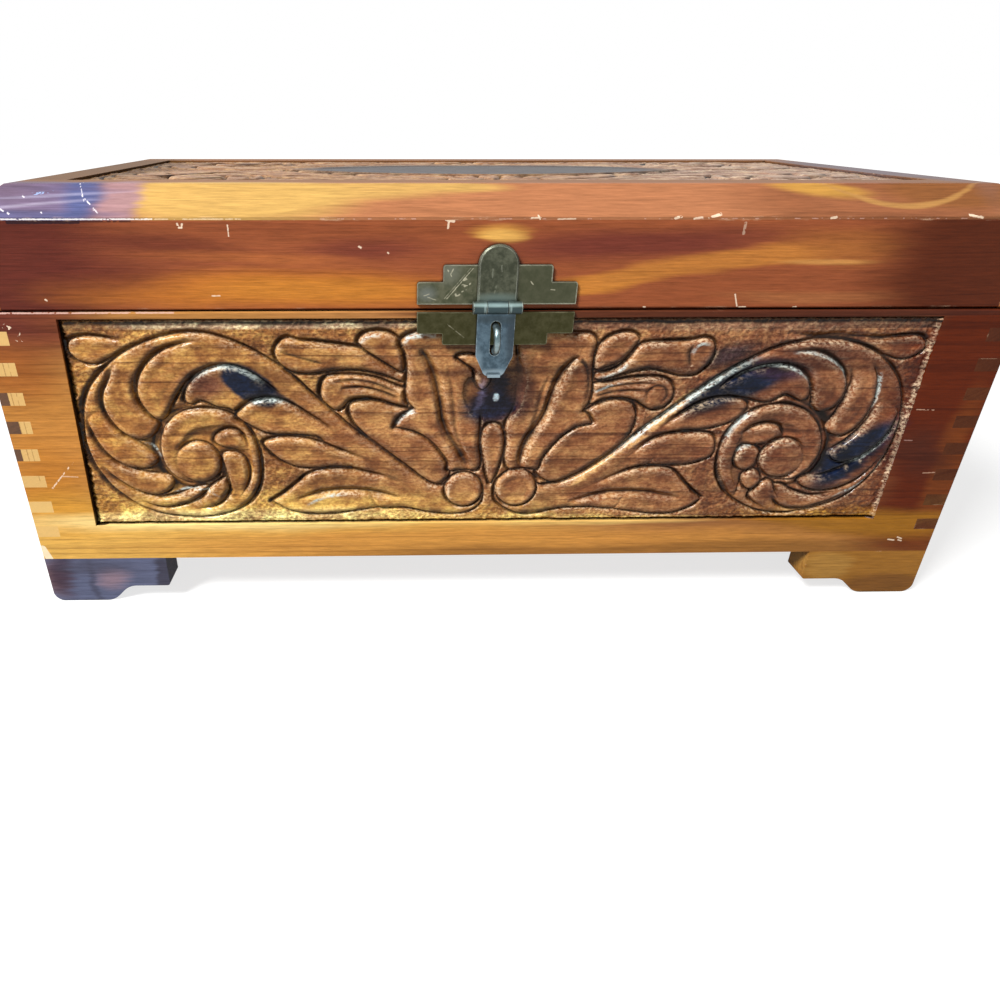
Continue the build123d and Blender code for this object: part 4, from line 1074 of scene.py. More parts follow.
    # the deep knot hollow under the hasp's tip, and the bud below it
    panel.hollow([(-7.6, -20), (-4.5, -15), (1, -13), (5.5, -15), (7.4, -21), (6.9, -28), (4.3, -33.4),
                  (0, -35.8), (-4.5, -35.3), (-9, -32), (-11.5, -26.5), (-10.5, -21.5)],
                 depth=2.35, stain_and_shade=0.2)
    panel.leaf([(-13.6, -14.6), (-11.5, -13.6), (-8, -14), (-4, -15.5), (-2.3, -19), (-3.2, -23.5),
                (-5.6, -25.4), (-7.6, -22.5), (-8.2, -19), (-11, -16.8)],
               top=-0.5, shoulder=1.8, cut=1.4)
    panel.leaf([(-4.9, -41.5), (-4.2, -38.3), (-2.3, -36.7), (0, -36.9), (1.8, -38.8), (2.5, -42.5),
                (2.2, -47.5), (1.2, -52), (0, -56), (-1.3, -58.5), (-2.5, -55.5), (-3.6, -50.5),
                (-4.6, -45.5)], top=-0.2, shoulder=2.0)


def relief_mesh(name, carving, to_point, floor_height):
    """A closed mesh from a carving: its face, its four edges and a flat back at floor_height."""
    rows, columns = carving.height.shape
    face = to_point(carving.x, carving.z, carving.height).reshape(-1, 3) * MM
    grid = np.arange(rows * columns).reshape(rows, columns)
    quads = np.stack([grid[:-1, :-1], grid[:-1, 1:], grid[1:, 1:], grid[1:, :-1]], -1).reshape(-1, 4)
    rim = np.concatenate([grid[0, :-1], grid[:-1, -1], grid[-1, :0:-1], grid[:0:-1, 0]])
    back = to_point(carving.x, carving.z, np.full_like(carving.x, floor_height)).reshape(-1, 3)[rim] * MM
    low = len(face) + np.arange(len(rim))
    sides = np.stack([np.roll(rim, -1), rim, low, np.roll(low, -1)], 1)
    mesh = bpy.data.meshes.new(name)
    mesh.from_pydata(np.vstack([face, back]).tolist(), [], quads.tolist() + sides.tolist() + [low.tolist()])
    mesh.shade_smooth()
    layers = {
        "stain_and_shade": carving.stain_and_shade, "rub_and_highlight": carving.rubbed_and_lit_places(),
        "matted": carving.matted, "painted_highlight": carving.painted_highlight,
    }
    for attribute, layer in layers.items():
        values = np.concatenate([layer.ravel(), np.zeros(len(rim))]).astype(np.float32)
        mesh.attributes.new(attribute, "FLOAT", "POINT").data.foreach_set("value", values)
    mesh.validate()
    relief = bpy.data.objects.new(name, mesh)
    scene.collection.objects.link(relief)
    return relief


def front_point(x, z, height):
    """From the drawing to the row's frame, in mm. The field's left edge leans out towards the bottom."""
    down = (FIELD_TOP - z) / (FIELD_TOP - FIELD_BOTTOM)
    near_left = np.clip((FIELD_LEFT + LEAN_WIDTH - x) / LEAN_WIDTH, 0, 1)
    x = x - near_left * down * FIELD_LEAN
    return np.stack([x, front_low.y / MM - height, front_high.z / MM + z], -1)


columns = int((FIELD_RIGHT - FIELD_LEFT) / GRID)
rows = int((FIELD_TOP - FIELD_BOTTOM) / GRID)
front_carving = Carving(
    np.linspace(FIELD_LEFT - TUCK, FIELD_RIGHT + TUCK, columns),
    np.linspace(FIELD_BOTTOM - TUCK, FIELD_TOP + TUCK, rows),
)
front_carving.mat_ground(GROUND, seed=3)
carve_middle(front_carving)
carve_left_half(front_carving)
carve_right_half(front_carving)
front_carving.finish_tooling(seed=11)
# a painted bluish highlight on the upper edges of some leaves
for width, edge in (
    (1.5, [(-94.5, -22.4), (-92.3, -20.3), (-88.7, -18.4), (-84.4, -17.4), (-80.2, -18.0), (-75.9, -20.1),
           (-72, -23)]),
    (1.4, [(-79.5, -31.2), (-76.4, -29), (-72, -28.1), (-68, -28.6), (-65, -30)]),
    (0.9, [(-112.5, -42.4), (-109.9, -43.4), (-108.2, -45.8), (-107.4, -48.6)]),
    (0.8, [(-105.5, -60.6), (-100.5, -59.3), (-94.2, -59.6), (-90, -62)]),
    (1.2, [(-62, -65.8), (-58.2, -63.7), (-54, -62.2), (-48, -61.6)]),
    (1.6, [(-30, -11), (-28.4, -8.6), (-24.5, -7.6), (-19, -7.6)]),
    (1.2, [(-43, -10), (-40, -7.9), (-36, -7.4)]),
    (1.2, [(-32.2, -37), (-30.4, -34.6), (-28, -32.8), (-26, -31.9)]),
    (1.0, [(29.2, -21.3), (32.5, -20.8), (36.2, -19), (39, -16)]),
    (1.0, [(29, -26), (33, -24.2), (38, -22.8)]),
    (1.2, [(57.5, -14), (59, -10.8), (62.5, -10.6)]),
    (1.7, [(35, -50.5), (42, -43.8), (51.5, -34.8), (60.5, -27.5), (65.2, -23.7), (69.8, -20.3),
           (75.5, -16.6), (80, -14)]),
    (1.0, [(72, -21.5), (77.5, -18.9), (83.1, -17.6), (89.3, -18.6), (94.4, -21.6), (97, -26)]),
    (0.9, [(88, -13.6), (94, -13.6), (100.5, -15.8), (105.5, -19.8), (107.8, -26)]),
    (1.2, [(73.2, -44), (74.8, -39.5), (78, -35), (82, -32.5)]),
    (1.3, [(126.8, -38.5), (124.8, -43), (120.5, -48.6), (115.5, -51.7)]),
    (1.1, [(127.6, -46), (125.4, -53.5), (121.5, -59), (113.5, -64)]),
    (0.9, [(117, -19.5), (118.4, -26), (118, -32.5)]),
    (0.8, [(77.9, -47.5), (79.8, -45.4), (83, -45.2)]),
):
    front_carving.touch(front_carving.painted_highlight, edge, 0.75 * width)
# painted highlight along the bosses' upper left rims, where they face the light, laid in the torn layer
for middle, radius in (((-10, -60.4), 5.4), ((7.2, -59.8), 5.9)):
    turns = np.radians(np.arange(60, 240, 20))
    rim = np.array(middle) + radius * np.stack([np.cos(turns), np.sin(turns)], 1)
    front_carving.touch(front_carving.torn, rim, 1.0)
# the dark knots and streaks keep their polish and take neither rubbing nor painted highlight
for knot in (
    [(58, -29), (66, -22), (74, -18.5), (84, -17), (94, -18)],
    [(-84, -17), (-76, -22), (-68, -26)],
    [(128, -36), (124, -46), (117, -54), (106, -62)],
    [(118, -42), (112, -50), (104, -56)],
):
    front_carving.touch(front_carving.sheltered, knot, 12)
# stop cuts down the walls, ragged where they cross the grain, dark with polish and painted shadow
# along the left wall and under the top edge
to_side = front_carving.x - FIELD_LEFT
to_end = np.minimum(FIELD_TOP - front_carving.z, front_carving.z - FIELD_BOTTOM)
torn = 0.35 * soft_noise(front_carving.x * 0.2, front_carving.z, 0.7, 21)
torn += 0.3 * soft_noise(front_carving.x * 0.2, front_carving.z, 3.1, 22)
by_side = np.clip(1.6 - to_side / (0.75 + torn), 0, 1)
by_end = np.clip(1.4 - to_end / 0.7, 0, 1)
by_top = np.clip(3.4 - (FIELD_TOP - front_carving.z) / (0.68 + 0.25 * torn), 0, 1)
front_carving.height -= np.maximum(0.8 * by_side, by_end)
front_carving.stain_and_shade = np.maximum(front_carving.stain_and_shade, np.maximum(by_side, np.maximum(by_top, by_end * 0.5)))
# on the right the wall was cut sloping and left torn, and it is painted pale as if lit from the left
right_slope = np.clip(1 - (FIELD_RIGHT - front_carving.x) / np.maximum(1.3 + 1.5 * torn, 0.1), 0, 1)
front_carving.height += right_slope * (1.0 + 0.6 * torn)
front_carving.torn = np.maximum(front_carving.torn, np.clip(1.6 * right_slope, 0, 1))
front_carving.darken_hollows_and_shaded_sides(0.75, seed=31)
front_carving.height = np.clip(front_carving.height, DEEPEST, HIGHEST)
front_relief = relief_mesh("front_carving", front_carving, front_point, FIELD_FLOOR + 0.02)
front_cut["zones"] += (
    # painted highlight on the ground's top band under the field's upper edge
    front_zone(-80, 98.9, 58, 1.3, colour(0.85, 0.66, 0.42), 0.65, edge=0.4, push=0.15),
    front_zone(-128, 96, 12, 14, colour(0.40, 0.17, 0.04), 0.8, edge=0.5),
    front_zone(45, 62.2, 20, 2.0, colour(0.70, 0.36, 0.12), 0.8, lean=0.86, edge=0.4, push=0.3),
    front_zone(62, 98.8, 78, 1.7, colour(0.44, 0.23, 0.13), 0.65, edge=0.5, push=0.3),
)
front_relief.data.materials.append(cedar("carved_front_cedar", figure=0.85, carved=0.85, **front_cut))
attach(front_relief, "body")


# ---- feet ----
# Two bracket pieces mitred at each corner, band-sawn from the ends of the same cedar, with a block glued
# behind them. The front left pair is dark heartwood, painted bluish for a sheen on it, and the front right
# pair came from an olive slab.

FOOT_EDGE = 0.35 * MM
foot_woods = {
    # dark heartwood with a painted bluish sheen
    "front_left": dict(
        early=colour(0.110, 0.122, 0.200), late=colour(0.095, 0.098, 0.150), figure=0.15,
        zones=(
            front_zone(-150, 10, 5, 6, colour(0.19, 0.10, 0.10), 0.8, edge=0.7, push=0.8),
            front_zone(-147, 12, 4, 8, colour(0.040, 0.022, 0.040), 0.8, lean=0.2, edge=0.7, push=0.8),
            front_zone(-130, 9.5, 4.5, 3.2, colour(0.30, 0.20, 0.24), 0.8, edge=0.8, push=0.8),
            front_zone(-137, 6, 1.2, 9, colour(0.060, 0.060, 0.095), 0.7, edge=0.8, push=0.5),
            front_zone(-136, 14, 12, 3, colour(0.060, 0.056, 0.082), 0.6, edge=0.7, push=0.7),
            front_zone(-113, 10, 3, 9, colour(0.04, 0.035, 0.05), 0.8, push=0.4),
        ),
    ),
    "front_right": dict(
        early=colour(0.34, 0.145, 0.022), late=colour(0.13, 0.055, 0.012),
        zones=(
            front_zone(118, 12, 8, 6, colour(0.42, 0.22, 0.05), 0.7),
            front_zone(140, 4, 16, 4, colour(0.16, 0.06, 0.015), 0.7),
        ),
    ),
    "back_left": dict(early=colour(0.30, 0.11, 0.035), late=colour(0.12, 0.03, 0.014)),
    "back_right": dict(early=colour(0.34, 0.13, 0.035), late=colour(0.12, 0.03, 0.014)),
}
for n, (corner, wood) in enumerate(foot_woods.items()):
    face_wood = cedar(f"{corner}_foot_cedar", pith=(0, 40 - 20 * n, -30), spacing=2.4, wear=0.62, **wood)
    dress(f"{corner}_foot_face", face_wood, FOOT_EDGE)
    side_wood = cedar(f"{corner}_foot_side_cedar", pith=(0, 60 + 15 * n, -30), spacing=2.4, axes=SIDEWAYS,
                      wear=0.62, early=wood["early"], late=wood["late"])
    dress(f"{corner}_foot_return", side_wood, FOOT_EDGE)
dress("foot_glue_blocks", cedar("glue_block_cedar", pith=(0, 20, 90), spacing=3.0), FOOT_EDGE)


# ---- lid: four rails under a bevelled top board ----
# The rails are finger-jointed like the body. The top is one wide board, glued on and planed to a bevel.
# A painted highlight runs along its bevel's lower edge, and a painted bluish reflection lies on the bevel at
# the left.

LID_RED = colour(0.315, 0.085, 0.030)
RED_PURPLE = colour(0.098, 0.017, 0.011)
GOLD = colour(0.62, 0.235, 0.036)
DARK_END = colour(0.085, 0.015, 0.004)
# painted glints on the bevel
GLINT_WHITE = colour(0.9, 0.85, 0.88)
lid_front_wood = cedar(
    "lid_front_cedar", pith=(0, -30, 10), spacing=5.2, wander=7.0, figure=0.34,
    early=LID_RED, late=colour(0.15, 0.034, 0.014),
    zones=(
        front_zone(-140, 116, 30, 26, RED_PURPLE, 0.95, edge=0.5),
        front_zone(-95, 121, 22, 3, RED_PURPLE, 0.7, lean=-0.12, edge=0.8),
        front_zone(-62, 109.5, 58, 5, colour(0.44, 0.140, 0.021), 0.95, edge=0.5),
        front_zone(-52, 109.5, 30, 3, colour(0.52, 0.190, 0.026), 0.8, edge=0.6),
        front_zone(-40, 120.5, 14, 3, PURPLE, 0.65, edge=0.8),
        front_zone(-108, 114, 16, 3.5, RED_PURPLE, 0.6, lean=0.05, edge=0.8),
        front_zone(-70, 118, 26, 1.5, colour(0.42, 0.125, 0.034), 0.6, lean=-0.03, edge=0.7),
        front_zone(-5.0, 125.2, 7.5, 2.1, colour(0.58, 0.27, 0.055), 0.85, edge=0.5, push=0.9),
        front_zone(-4.6, 124.6, 6.2, 1.4, colour(0.76, 0.42, 0.10), 0.9, edge=0.5, push=0.8),
        front_zone(34, 122, 40, 4.2, PURPLE, 0.75, edge=0.6, lean=0.03),
        front_zone(26, 111, 18, 2.6, GOLD, 0.85, edge=0.5, lean=0.12),
        front_zone(62, 117, 40, 2.7, colour(0.50, 0.185, 0.036), 0.9, edge=0.4, lean=0.11, bow=-0.0012),
        front_zone(96, 120.5, 16, 4.6, colour(0.34, 0.11, 0.028), 0.85, edge=0.5, bow=0.004),
        front_zone(90, 116.8, 13, 0.7, colour(0.56, 0.26, 0.07), 0.75, edge=0.5, push=0.3),
        front_zone(92, 107, 24, 1.7, colour(0.36, 0.13, 0.045), 0.7, edge=0.6),
        front_zone(140, 115, 34, 30, DARK_END, 0.95, edge=0.45),
        # painted shade along the rail's lower edge, at the seam
        front_zone(30, 103.6, 120, 0.7, UMBER, 0.7, edge=0.4, push=0.1),
    ),
    marks=(
        mark(-91.3, 127.6, -91.0, 126.6, 0.5),
        mark(-90.0, 127.5, -90.3, 126.6, 0.45),
        mark(-91, 126.5, -90.3, 126.5, 0.4),
        mark(-77.7, 127.2, -77.7, 124.4, 0.3, breaks=0.42),
        mark(-85, 107.8, -82, 107.8, 0.3, breaks=0.45),
        mark(-131.6, 106.8, -131.3, 106.6, 0.45),
        mark(-42, 121.4, -41.2, 121.0, 0.5, breaks=0.5),
        mark(-34, 119.8, -33.8, 119.6, 0.35),
        mark(-17.8, 128.4, -15.8, 128.2, 0.7),
        mark(-17.2, 128, -17.4, 126.4, 0.5),
        mark(66.2, 107.8, 67.4, 104.4, 0.35, breaks=0.2),
        mark(65, 127.6, 65, 124.8, 0.7, strength=0.35),
        mark(40, 104.2, 40.6, 104.1, 0.35),
        mark(68, 104.1, 70, 104.1, 0.3),
        mark(84, 104.1, 85, 104.1, 0.3),
        # painted shadow under the bevel's edge at the left
        mark(-137, 128.1, -118, 128.1, 1.0, colour(0.02, 0.008, 0.012), 0.9, breaks=0.2),
        mark(-118, 128.2, -104, 128.3, 0.5, colour(0.03, 0.010, 0.012), 0.7, breaks=0.35),
    ),
)
dress("lid_front_rail", lid_front_wood)
lid_back_zones = (front_zone(-40, 112, 70, 5, SAP, 0.7),)
dress("lid_back_rail", cedar("lid_back_cedar", pith=(0, 60, 60), spacing=2.6, zones=lid_back_zones))
dress("lid_left_rail", cedar("lid_left_cedar", pith=(0, -160, 80), spacing=2.6, axes=SIDEWAYS))
dress("lid_right_rail", cedar("lid_right_cedar", pith=(0, 130, 150), spacing=2.6, axes=SIDEWAYS))

# the top lies flat, so its zones are placed by x and y
BEVEL_Y = -63.8
VIOLET = colour(0.135, 0.105, 0.19)
BLUE = colour(0.065, 0.085, 0.20)
ROSE = colour(0.30, 0.17, 0.19)
YELLOW = colour(0.50, 0.30, 0.085)
SALMON = colour(0.385, 0.148, 0.064)
lid_top_cut = dict(
    pith=(0, -60, 20), spacing=7.0, wander=9.0, axes=(0, 2, 1), figure=0.25,
    early=colour(0.25, 0.110, 0.045), late=colour(0.08, 0.026, 0.012),
    zones=(
        front_zone(0, BEVEL_Y, 170, 8, SALMON, 0.9, edge=0.25, push=0.3),
        front_zone(105, BEVEL_Y, 40, 10, colour(0.25, 0.085, 0.034), 0.9, edge=0.4, push=0.3),
        front_zone(128, -61, 22, 6, colour(0.21, 0.075, 0.020), 0.9, edge=0.3, push=0.4),
        front_zone(-78, -63, 34, 9, YELLOW, 0.95, edge=0.3, push=0.6),
        front_zone(-40, -60.5, 26, 3.2, YELLOW, 0.85, lean=0.05, edge=0.5, push=0.5),
        front_zone(-12, -59.2, 12, 1.6, YELLOW, 0.8, edge=0.5, push=0.3),
        front_zone(88, -60.5, 13, 2.6, colour(0.47, 0.24, 0.045), 0.9, lean=-0.12, edge=0.4, push=0.4),
        front_zone(112, -66.2, 24, 0.9, colour(0.42, 0.21, 0.06), 0.85, bow=0.016, edge=0.5, push=0.2),
        front_zone(-108, BEVEL_Y, 6, 12, ROSE, 0.9, edge=0.4, push=0.5),
        # painted blue-violet reflection on the bevel at the left, in patches and streaks
        front_zone(-136, BEVEL_Y, 22, 12, VIOLET, 0.97, edge=0.18, push=0.3),
        front_zone(-118, -62, 5, 9, BLUE, 0.85, edge=0.5, push=0.4),
        front_zone(-134, -68.5, 24, 1.2, BLUE, 0.6, edge=0.5, push=0.3),
        front_zone(-132, -65.5, 14, 0.5, colour(0.42, 0.38, 0.50), 0.5, lean=0.10, edge=0.9, push=0.3),
        front_zone(-126, -62.6, 16, 0.4, colour(0.38, 0.36, 0.50), 0.45, lean=0.06, edge=0.9, push=0.3),
        front_zone(-130, -60.2, 18, 0.6, colour(0.10, 0.085, 0.17), 0.6, lean=-0.03, edge=0.9, push=0.3),
        # painted bluish reflection along the right border
        front_zone(137, 0, 8, 52, colour(0.12, 0.14, 0.20), 0.6, edge=0.4, push=0.3),
        front_zone(-135, 6, 22, 62, colour(0.115, 0.052, 0.014), 0.9, edge=0.4),
    ),
    marks=(
        # painted highlight along the bevel's lower edge, fading to the right
        mark(-143.5, 128.8, -98, 128.8, 0.3, colour(1, 0.96, 0.93), 0.8, breaks=0.3),
        mark(-99, 128.8, -74, 128.8, 0.22, colour(0.95, 0.75, 0.5), 0.6, breaks=0.42),
        # painted glints and a painted blue streak in that reflection
        mark(-120.2, 137.0, -117.5, 132.8, 0.16, GLINT_WHITE, 0.6, breaks=0.42),
        mark(-118.6, 134.2, -112.8, 130.2, 0.22, GLINT_WHITE, 0.6, breaks=0.4),
        mark(-117.2, 133.4, -114.2, 130.9, 0.12, GLINT_WHITE, 0.5, breaks=0.45),
        mark(-132.5, 134.6, -126.5, 135.0, 0.5, colour(0.35, 0.50, 0.80), 0.6, breaks=0.56),
        mark(-142.8, 134.9, -141.2, 134.2, 0.2, GLINT_WHITE, 0.7, breaks=0.5),
        mark(-134.8, 134.1, -134.2, 133.8, 0.2, GLINT_WHITE, 0.7),
        mark(-139.6, 131.2, -138.4, 130.6, 0.2, GLINT_WHITE, 0.7),
        mark(-137.2, 130.3, -136.6, 130.0, 0.25, GLINT_WHITE, 0.7),
        mark(-128.2, 130.4, -127.7, 130.2, 0.2, GLINT_WHITE, 0.7),
        mark(5.5, 129.0, 8, 129.1, 0.35),
        mark(45.2, 128.9, 46.8, 129.3, 0.6),
        mark(50.5, 128.8, 52.6, 129.1, 0.5),
        mark(54.6, 129.0, 58, 129.9, 0.55),
        mark(88.6, 128.9, 90, 129.1, 0.6),
        mark(127.5, 129.6, 131, 129.0, 0.55),
        # fainter painted highlight, broken, along the rest of that edge
        mark(-60, 128.8, 130, 128.8, 0.2, colour(0.8, 0.5, 0.42), 0.4, breaks=0.60),
        mark(12.8, 128.7, 17.6, 128.8, 0.3, strength=0.7),
        mark(7.4, 129.6, 7.9, 128.7, 0.3),
    ),
)
dress("lid_top", cedar("lid_top_cedar", **lid_top_cut))


# ---- carved field of the lid ----
# The same scrolls along both long edges, cut shallower round a smooth pointed oval. The oval was left
# standing a little proud of them and is polished; its near-black bluish colour is a painted reflection.

LID_GRID = 0.5
LID_DEPTH = 0.68  # of the front's relief
LID_ACROSS, LID_UP = 0.98, 0.72  # of the front's drawing
DRAWING_FOOT = -72  # the drawing's lower edge, which lies along the field's edges
top_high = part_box("lid_top")[1]
field_low, field_high = Vector((-129.4, -46.35)), Vector((129.4, 53.65))
field_middle = (field_low.y + field_high.y) / 2
top_carving = Carving(
    np.arange(field_low.x - TUCK, field_high.x + TUCK, LID_GRID),
    np.arange(field_low.y - TUCK, field_high.y + TUCK, LID_GRID),
)
top_carving.mat_ground(GROUND, seed=53)
top_carving.size = 0.85
for way in (1, -1):
    edge_y = field_middle - way * (field_high.y - field_low.y) / 2
    top_carving.place = lambda points: np.stack(
        [points[:, 0] * LID_ACROSS, edge_y + way * (points[:, 1] - DRAWING_FOOT) * LID_UP], 1)
    carve_middle(top_carving)
    carve_left_half(top_carving)
    carve_right_half(top_carving)
top_carving.place = lambda points: points + (0, field_middle)
oval = [(-73, 0), (-73, 0), (-58, 11), (-38, 20), (-18, 24.5), (0, 26), (18, 24.5), (38, 20), (58, 11),
        (73, 0), (73, 0), (58, -11), (38, -20), (18, -24.5), (0, -26), (-18, -24.5), (-38, -20), (-58, -11)]
top_carving.leaf(oval, top=-0.1, edge=-0.5, shoulder=3.0, cut=1.8)
smooth_oval = top_carving.height.copy()
top_carving.finish_tooling(seed=61)
oval_line = smooth_line(top_carving.place(np.array(oval, float)), closed=True)
part, _, _, within, _ = top_carving.measure(oval_line, 1)
top_carving.height[part] = np.where(within, smooth_oval[part], top_carving.height[part])
top_carving.darken_hollows_and_shaded_sides(0.75, seed=71)
top_carving.height = np.clip(top_carving.height, DEEPEST, HIGHEST) * LID_DEPTH


def top_point(x, y, height):
    """From the drawing to the row's frame, in mm."""
    return np.stack([x, y, top_high.z / MM + height], -1)


top_relief = relief_mesh("lid_carving", top_carving, top_point, FIELD_FLOOR * LID_DEPTH)
lid_top_cut["zones"] += (
    # paler over the right part of the field: painted reflection
    front_zone(95, 4, 60, 70, colour(0.42, 0.27, 0.19), 0.8, edge=0.5),
    # the oval's near-black bluish colour: painted reflection
    front_zone(0, field_middle, 68, 23, colour(0.020, 0.024, 0.032), 0.92, edge=0.15, push=0.2),
)
lid_top_cut["early"] = colour(0.38, 0.20, 0.10)
top_relief.data.materials.append(cedar("carved_lid_cedar", carved=0.6, gloss=0.3, **lid_top_cut))
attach(top_relief, "lid")


# ---- back hinges ----
# Two small butt hinges of pressed brass with steel pins, let into the edges at the back. Three small
# steel nails hold each leaf.

metal_grain, given, gives = effect(
    "metal_grain",
    {"Scale": 400.0, "Worn": 0.5, "Edge": 0.35 * MM},
    {"Mottle": 0.0, "Worn": 0.0},
)
spots = times(metal_grain, add(metal_grain, "TexCoord").outputs["Object"], given["Scale"])
metal_grain.links.new(noise(metal_grain, spots, 5.0, 0.65), gives["Mottle"])
edges = use(metal_grain, worn_edges, {"Width": given["Edge"], "Breaks": given["Worn"]})[0]
metal_grain.links.new(edges, gives["Worn"])


def metal(name, tarnish, bright, shine, dull, worn=0.4, edge=0.35, zones=(), marks=()):
    """Metal between two colours of tarnish, rubbed bright along its edges."""
    material, tree, out = new_material(name)
    mottle, edge = use(tree, metal_grain, {"Worn": worn, "Edge": edge * MM})[:2]
    shade = mixed(tree, eased(tree, mottle, 0.35, 0.68), tarnish, bright)
    row = add(tree, "TexCoord").outputs["Object"]
    shade = with_zones(tree, shade, zones, row, natural=False)
    shade = with_marks(tree, shade, marks, row)
    shade = tinted(tree, shade, edge, 0.8, shine)
    shade = tinted(tree, shade, use(tree, joint_lines, {"Width": 0.8 * MM})[0], 0.75, SHADE_AND_GRIME)
    rough = maths(tree, "MULTIPLY_ADD", mottle, 0.3, dull)
    bump = add(tree, "Bump", {"Height": mottle, "Strength": 0.3, "Distance": 0.1 * MM})
    skin = add(tree, "BsdfPrincipled", {
        "Base Color": shade, "Metallic": 0.9, "Roughness": rough, "Normal": bump.outputs[0],
    })
    tree.links.new(skin.outputs[0], out.inputs["Surface"])
    return material


hinge_brass = metal("hinge_brass", colour(0.20, 0.12, 0.035), colour(0.50, 0.34, 0.12),
                    colour(0.80, 0.62, 0.30), 0.25)
hinge_steel = metal("hinge_steel", colour(0.10, 0.09, 0.08), colour(0.30, 0.29, 0.28),
                    colour(0.6, 0.6, 0.6), 0.3)
for side in ("left", "right"):
    for leaf in ("body", "lid"):
        dress(f"{side}_hinge_{leaf}_leaf", hinge_brass, 0.1 * MM)
        dress(f"{side}_hinge_{leaf}_nails", hinge_steel)
    dress(f"{side}_hinge_pin", hinge_steel)


# ---- hasp ----
# Two stepped plates of thin antiqued brass, held by prongs bent into the wood. A domed leaf of dull
# blue-grey steel on the lid's plate carries a swinging leaf, whose slot drops over a bent wire staple.

PALE_BRASS = colour(0.50, 0.47, 0.34)
# painted light and shade on the barrel: a painted highlight above, painted shade below, and painted
# highlights at the ends of its knuckles
barrel_light_and_shade = (
    front_zone(-2.9, 104.3, 9, 1.6, colour(0.040, 0.062, 0.066), 0.95, edge=0.25),
    front_zone(-2.9, 106.0, 9, 0.6, colour(0.26, 0.36, 0.35), 0.8, edge=0.5),
    front_zone(-6.6, 105.1, 0.28, 1.4, colour(0.28, 0.36, 0.35), 0.6, edge=0.6),
    front_zone(0.8, 105.1, 0.28, 1.4, colour(0.28, 0.36, 0.35), 0.6, edge=0.6),
)
lid_plate_brass = metal(
    "lid_plate_brass", colour(0.055, 0.060, 0.034), colour(0.105, 0.105, 0.066),
    colour(0.62, 0.60, 0.47), 0.30, worn=0.2, edge=0.7,
    zones=(
        front_zone(-23.0, 108.4, 2.2, 1.8, colour(0.17, 0.185, 0.17), 0.6, edge=0.9),
        front_zone(-17, 114.5, 3, 3, colour(0.16, 0.165, 0.13), 0.6, edge=0.8),
        front_zone(12, 110.5, 11, 8, colour(0.052, 0.054, 0.030), 0.65, edge=0.5),
    ),
    marks=(
        mark(-10.0, 115.6, -17.3, 106.9, 0.1, PALE_BRASS, 0.75, breaks=0.25),
        mark(-10.7, 115.6, -17.9, 107.1, 0.05, PALE_BRASS, 0.6, breaks=0.35),
        mark(-17.2, 115.1, -16.1, 113.4, 0.2, PALE_BRASS, 0.8),
        mark(-15.6, 115.4, -16.4, 113.8, 0.15, PALE_BRASS, 0.7),
        mark(-23.9, 107.8, -22.4, 108.3, 0.2, PALE_BRASS, 0.5),
        mark(-22.8, 107.4, -20.4, 106.6, 0.15, PALE_BRASS, 0.5),
        mark(-13.6, 111.8, -11.2, 113.2, 0.9, PALE_BRASS, 0.6, breaks=0.56),
        mark(-14.6, 109.8, -11.0, 111.4, 0.9, PALE_BRASS, 0.6, breaks=0.57),
        mark(-14.8, 108.0, -10.8, 109.4, 0.9, PALE_BRASS, 0.6, breaks=0.58),
        mark(6.5, 111.8, 7.2, 111.0, 0.2, PALE_BRASS, 0.7),
        mark(12.5, 109.5, 13.5, 109.4, 0.2, PALE_BRASS, 0.6),
    ),
)
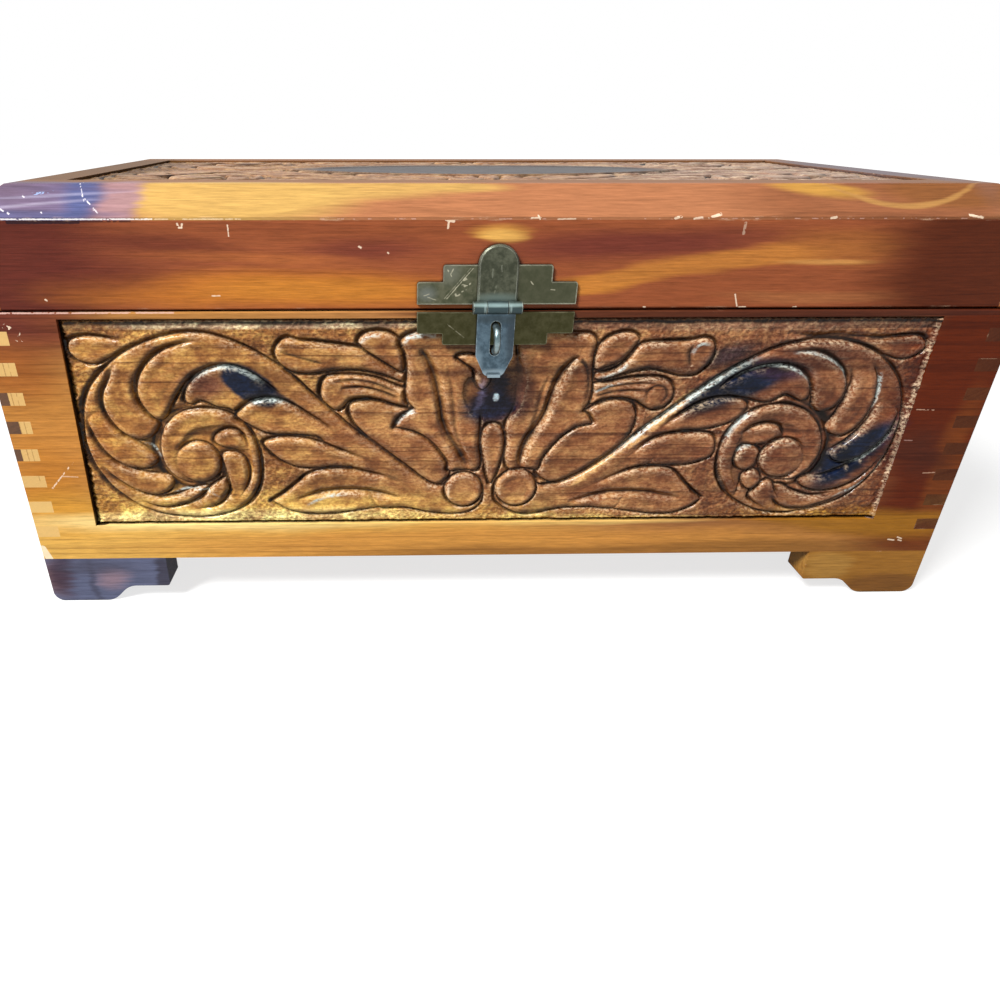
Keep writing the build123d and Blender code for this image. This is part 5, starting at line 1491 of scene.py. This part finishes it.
lower_plate_brass = metal(
    "lower_plate_brass", colour(0.034, 0.032, 0.011), colour(0.056, 0.052, 0.023),
    colour(0.40, 0.37, 0.24), 0.30, worn=0.34, edge=0.6,
    marks=(
        mark(10.5, 91.6, 12.5, 92.4, 0.4, PALE_BRASS, 0.7, breaks=0.5),
        mark(-17, 99.5, -12, 95.5, 0.1, PALE_BRASS, 0.35),
    ),
)
hump_steel = metal(
    "dull_steel", colour(0.042, 0.046, 0.030), colour(0.095, 0.100, 0.068),
    colour(0.62, 0.64, 0.54), 0.30, worn=0.22, edge=0.6,
    zones=(
        # painted highlight at the dome's foot
        front_zone(-2.9, 107.0, 7, 1.5, colour(0.13, 0.17, 0.15), 0.8, edge=0.7),
        *barrel_light_and_shade,
    ),
    marks=(
        mark(-4.6, 115.5, -4.6, 113.2, 0.3, colour(0.26, 0.27, 0.21), 0.35, breaks=0.5),
        mark(-2.2, 116.8, -2.0, 114.0, 0.3, colour(0.26, 0.27, 0.21), 0.35, breaks=0.5),
        mark(-3.2, 112.2, -3.8, 108.8, 0.35, colour(0.22, 0.23, 0.17), 0.35, breaks=0.5),
    ),
)
leaf_steel = metal(
    "worn_steel", colour(0.045, 0.072, 0.094), colour(0.105, 0.158, 0.198),
    colour(0.55, 0.66, 0.70), 0.26, worn=0.30,
    zones=(
        *barrel_light_and_shade,
        # painted highlight on the tip, where its lip would catch the light
        front_zone(-2.9, 84.2, 4.5, 1.6, colour(0.26, 0.33, 0.37), 0.9, edge=0.5),
        # painted highlight on the lower left rim
        front_zone(-8.0, 88, 1.6, 5, colour(0.16, 0.22, 0.26), 0.7, lean=-1.2, edge=0.6),
        # painted shadow down the right side
        front_zone(2.4, 96, 2.2, 9, colour(0.035, 0.045, 0.055), 0.75, edge=0.6),
        front_zone(-3, 101.2, 7, 1.2, colour(0.040, 0.055, 0.062), 0.7, edge=0.6),
    ),
)
bright_steel = metal("bright_steel", colour(0.10, 0.15, 0.16), colour(0.26, 0.33, 0.34),
                     colour(0.60, 0.68, 0.68), 0.22, worn=0.3)
dress("lid_hasp_plate", lid_plate_brass, 0.12 * MM)
dress("staple_plate", lower_plate_brass, 0.12 * MM)
dress("hasp_fixed_leaf", hump_steel, 0.12 * MM)
dress("hasp_swing_leaf", leaf_steel, 0.12 * MM)
dress("hasp_pin", leaf_steel)
dress("staple", bright_steel)
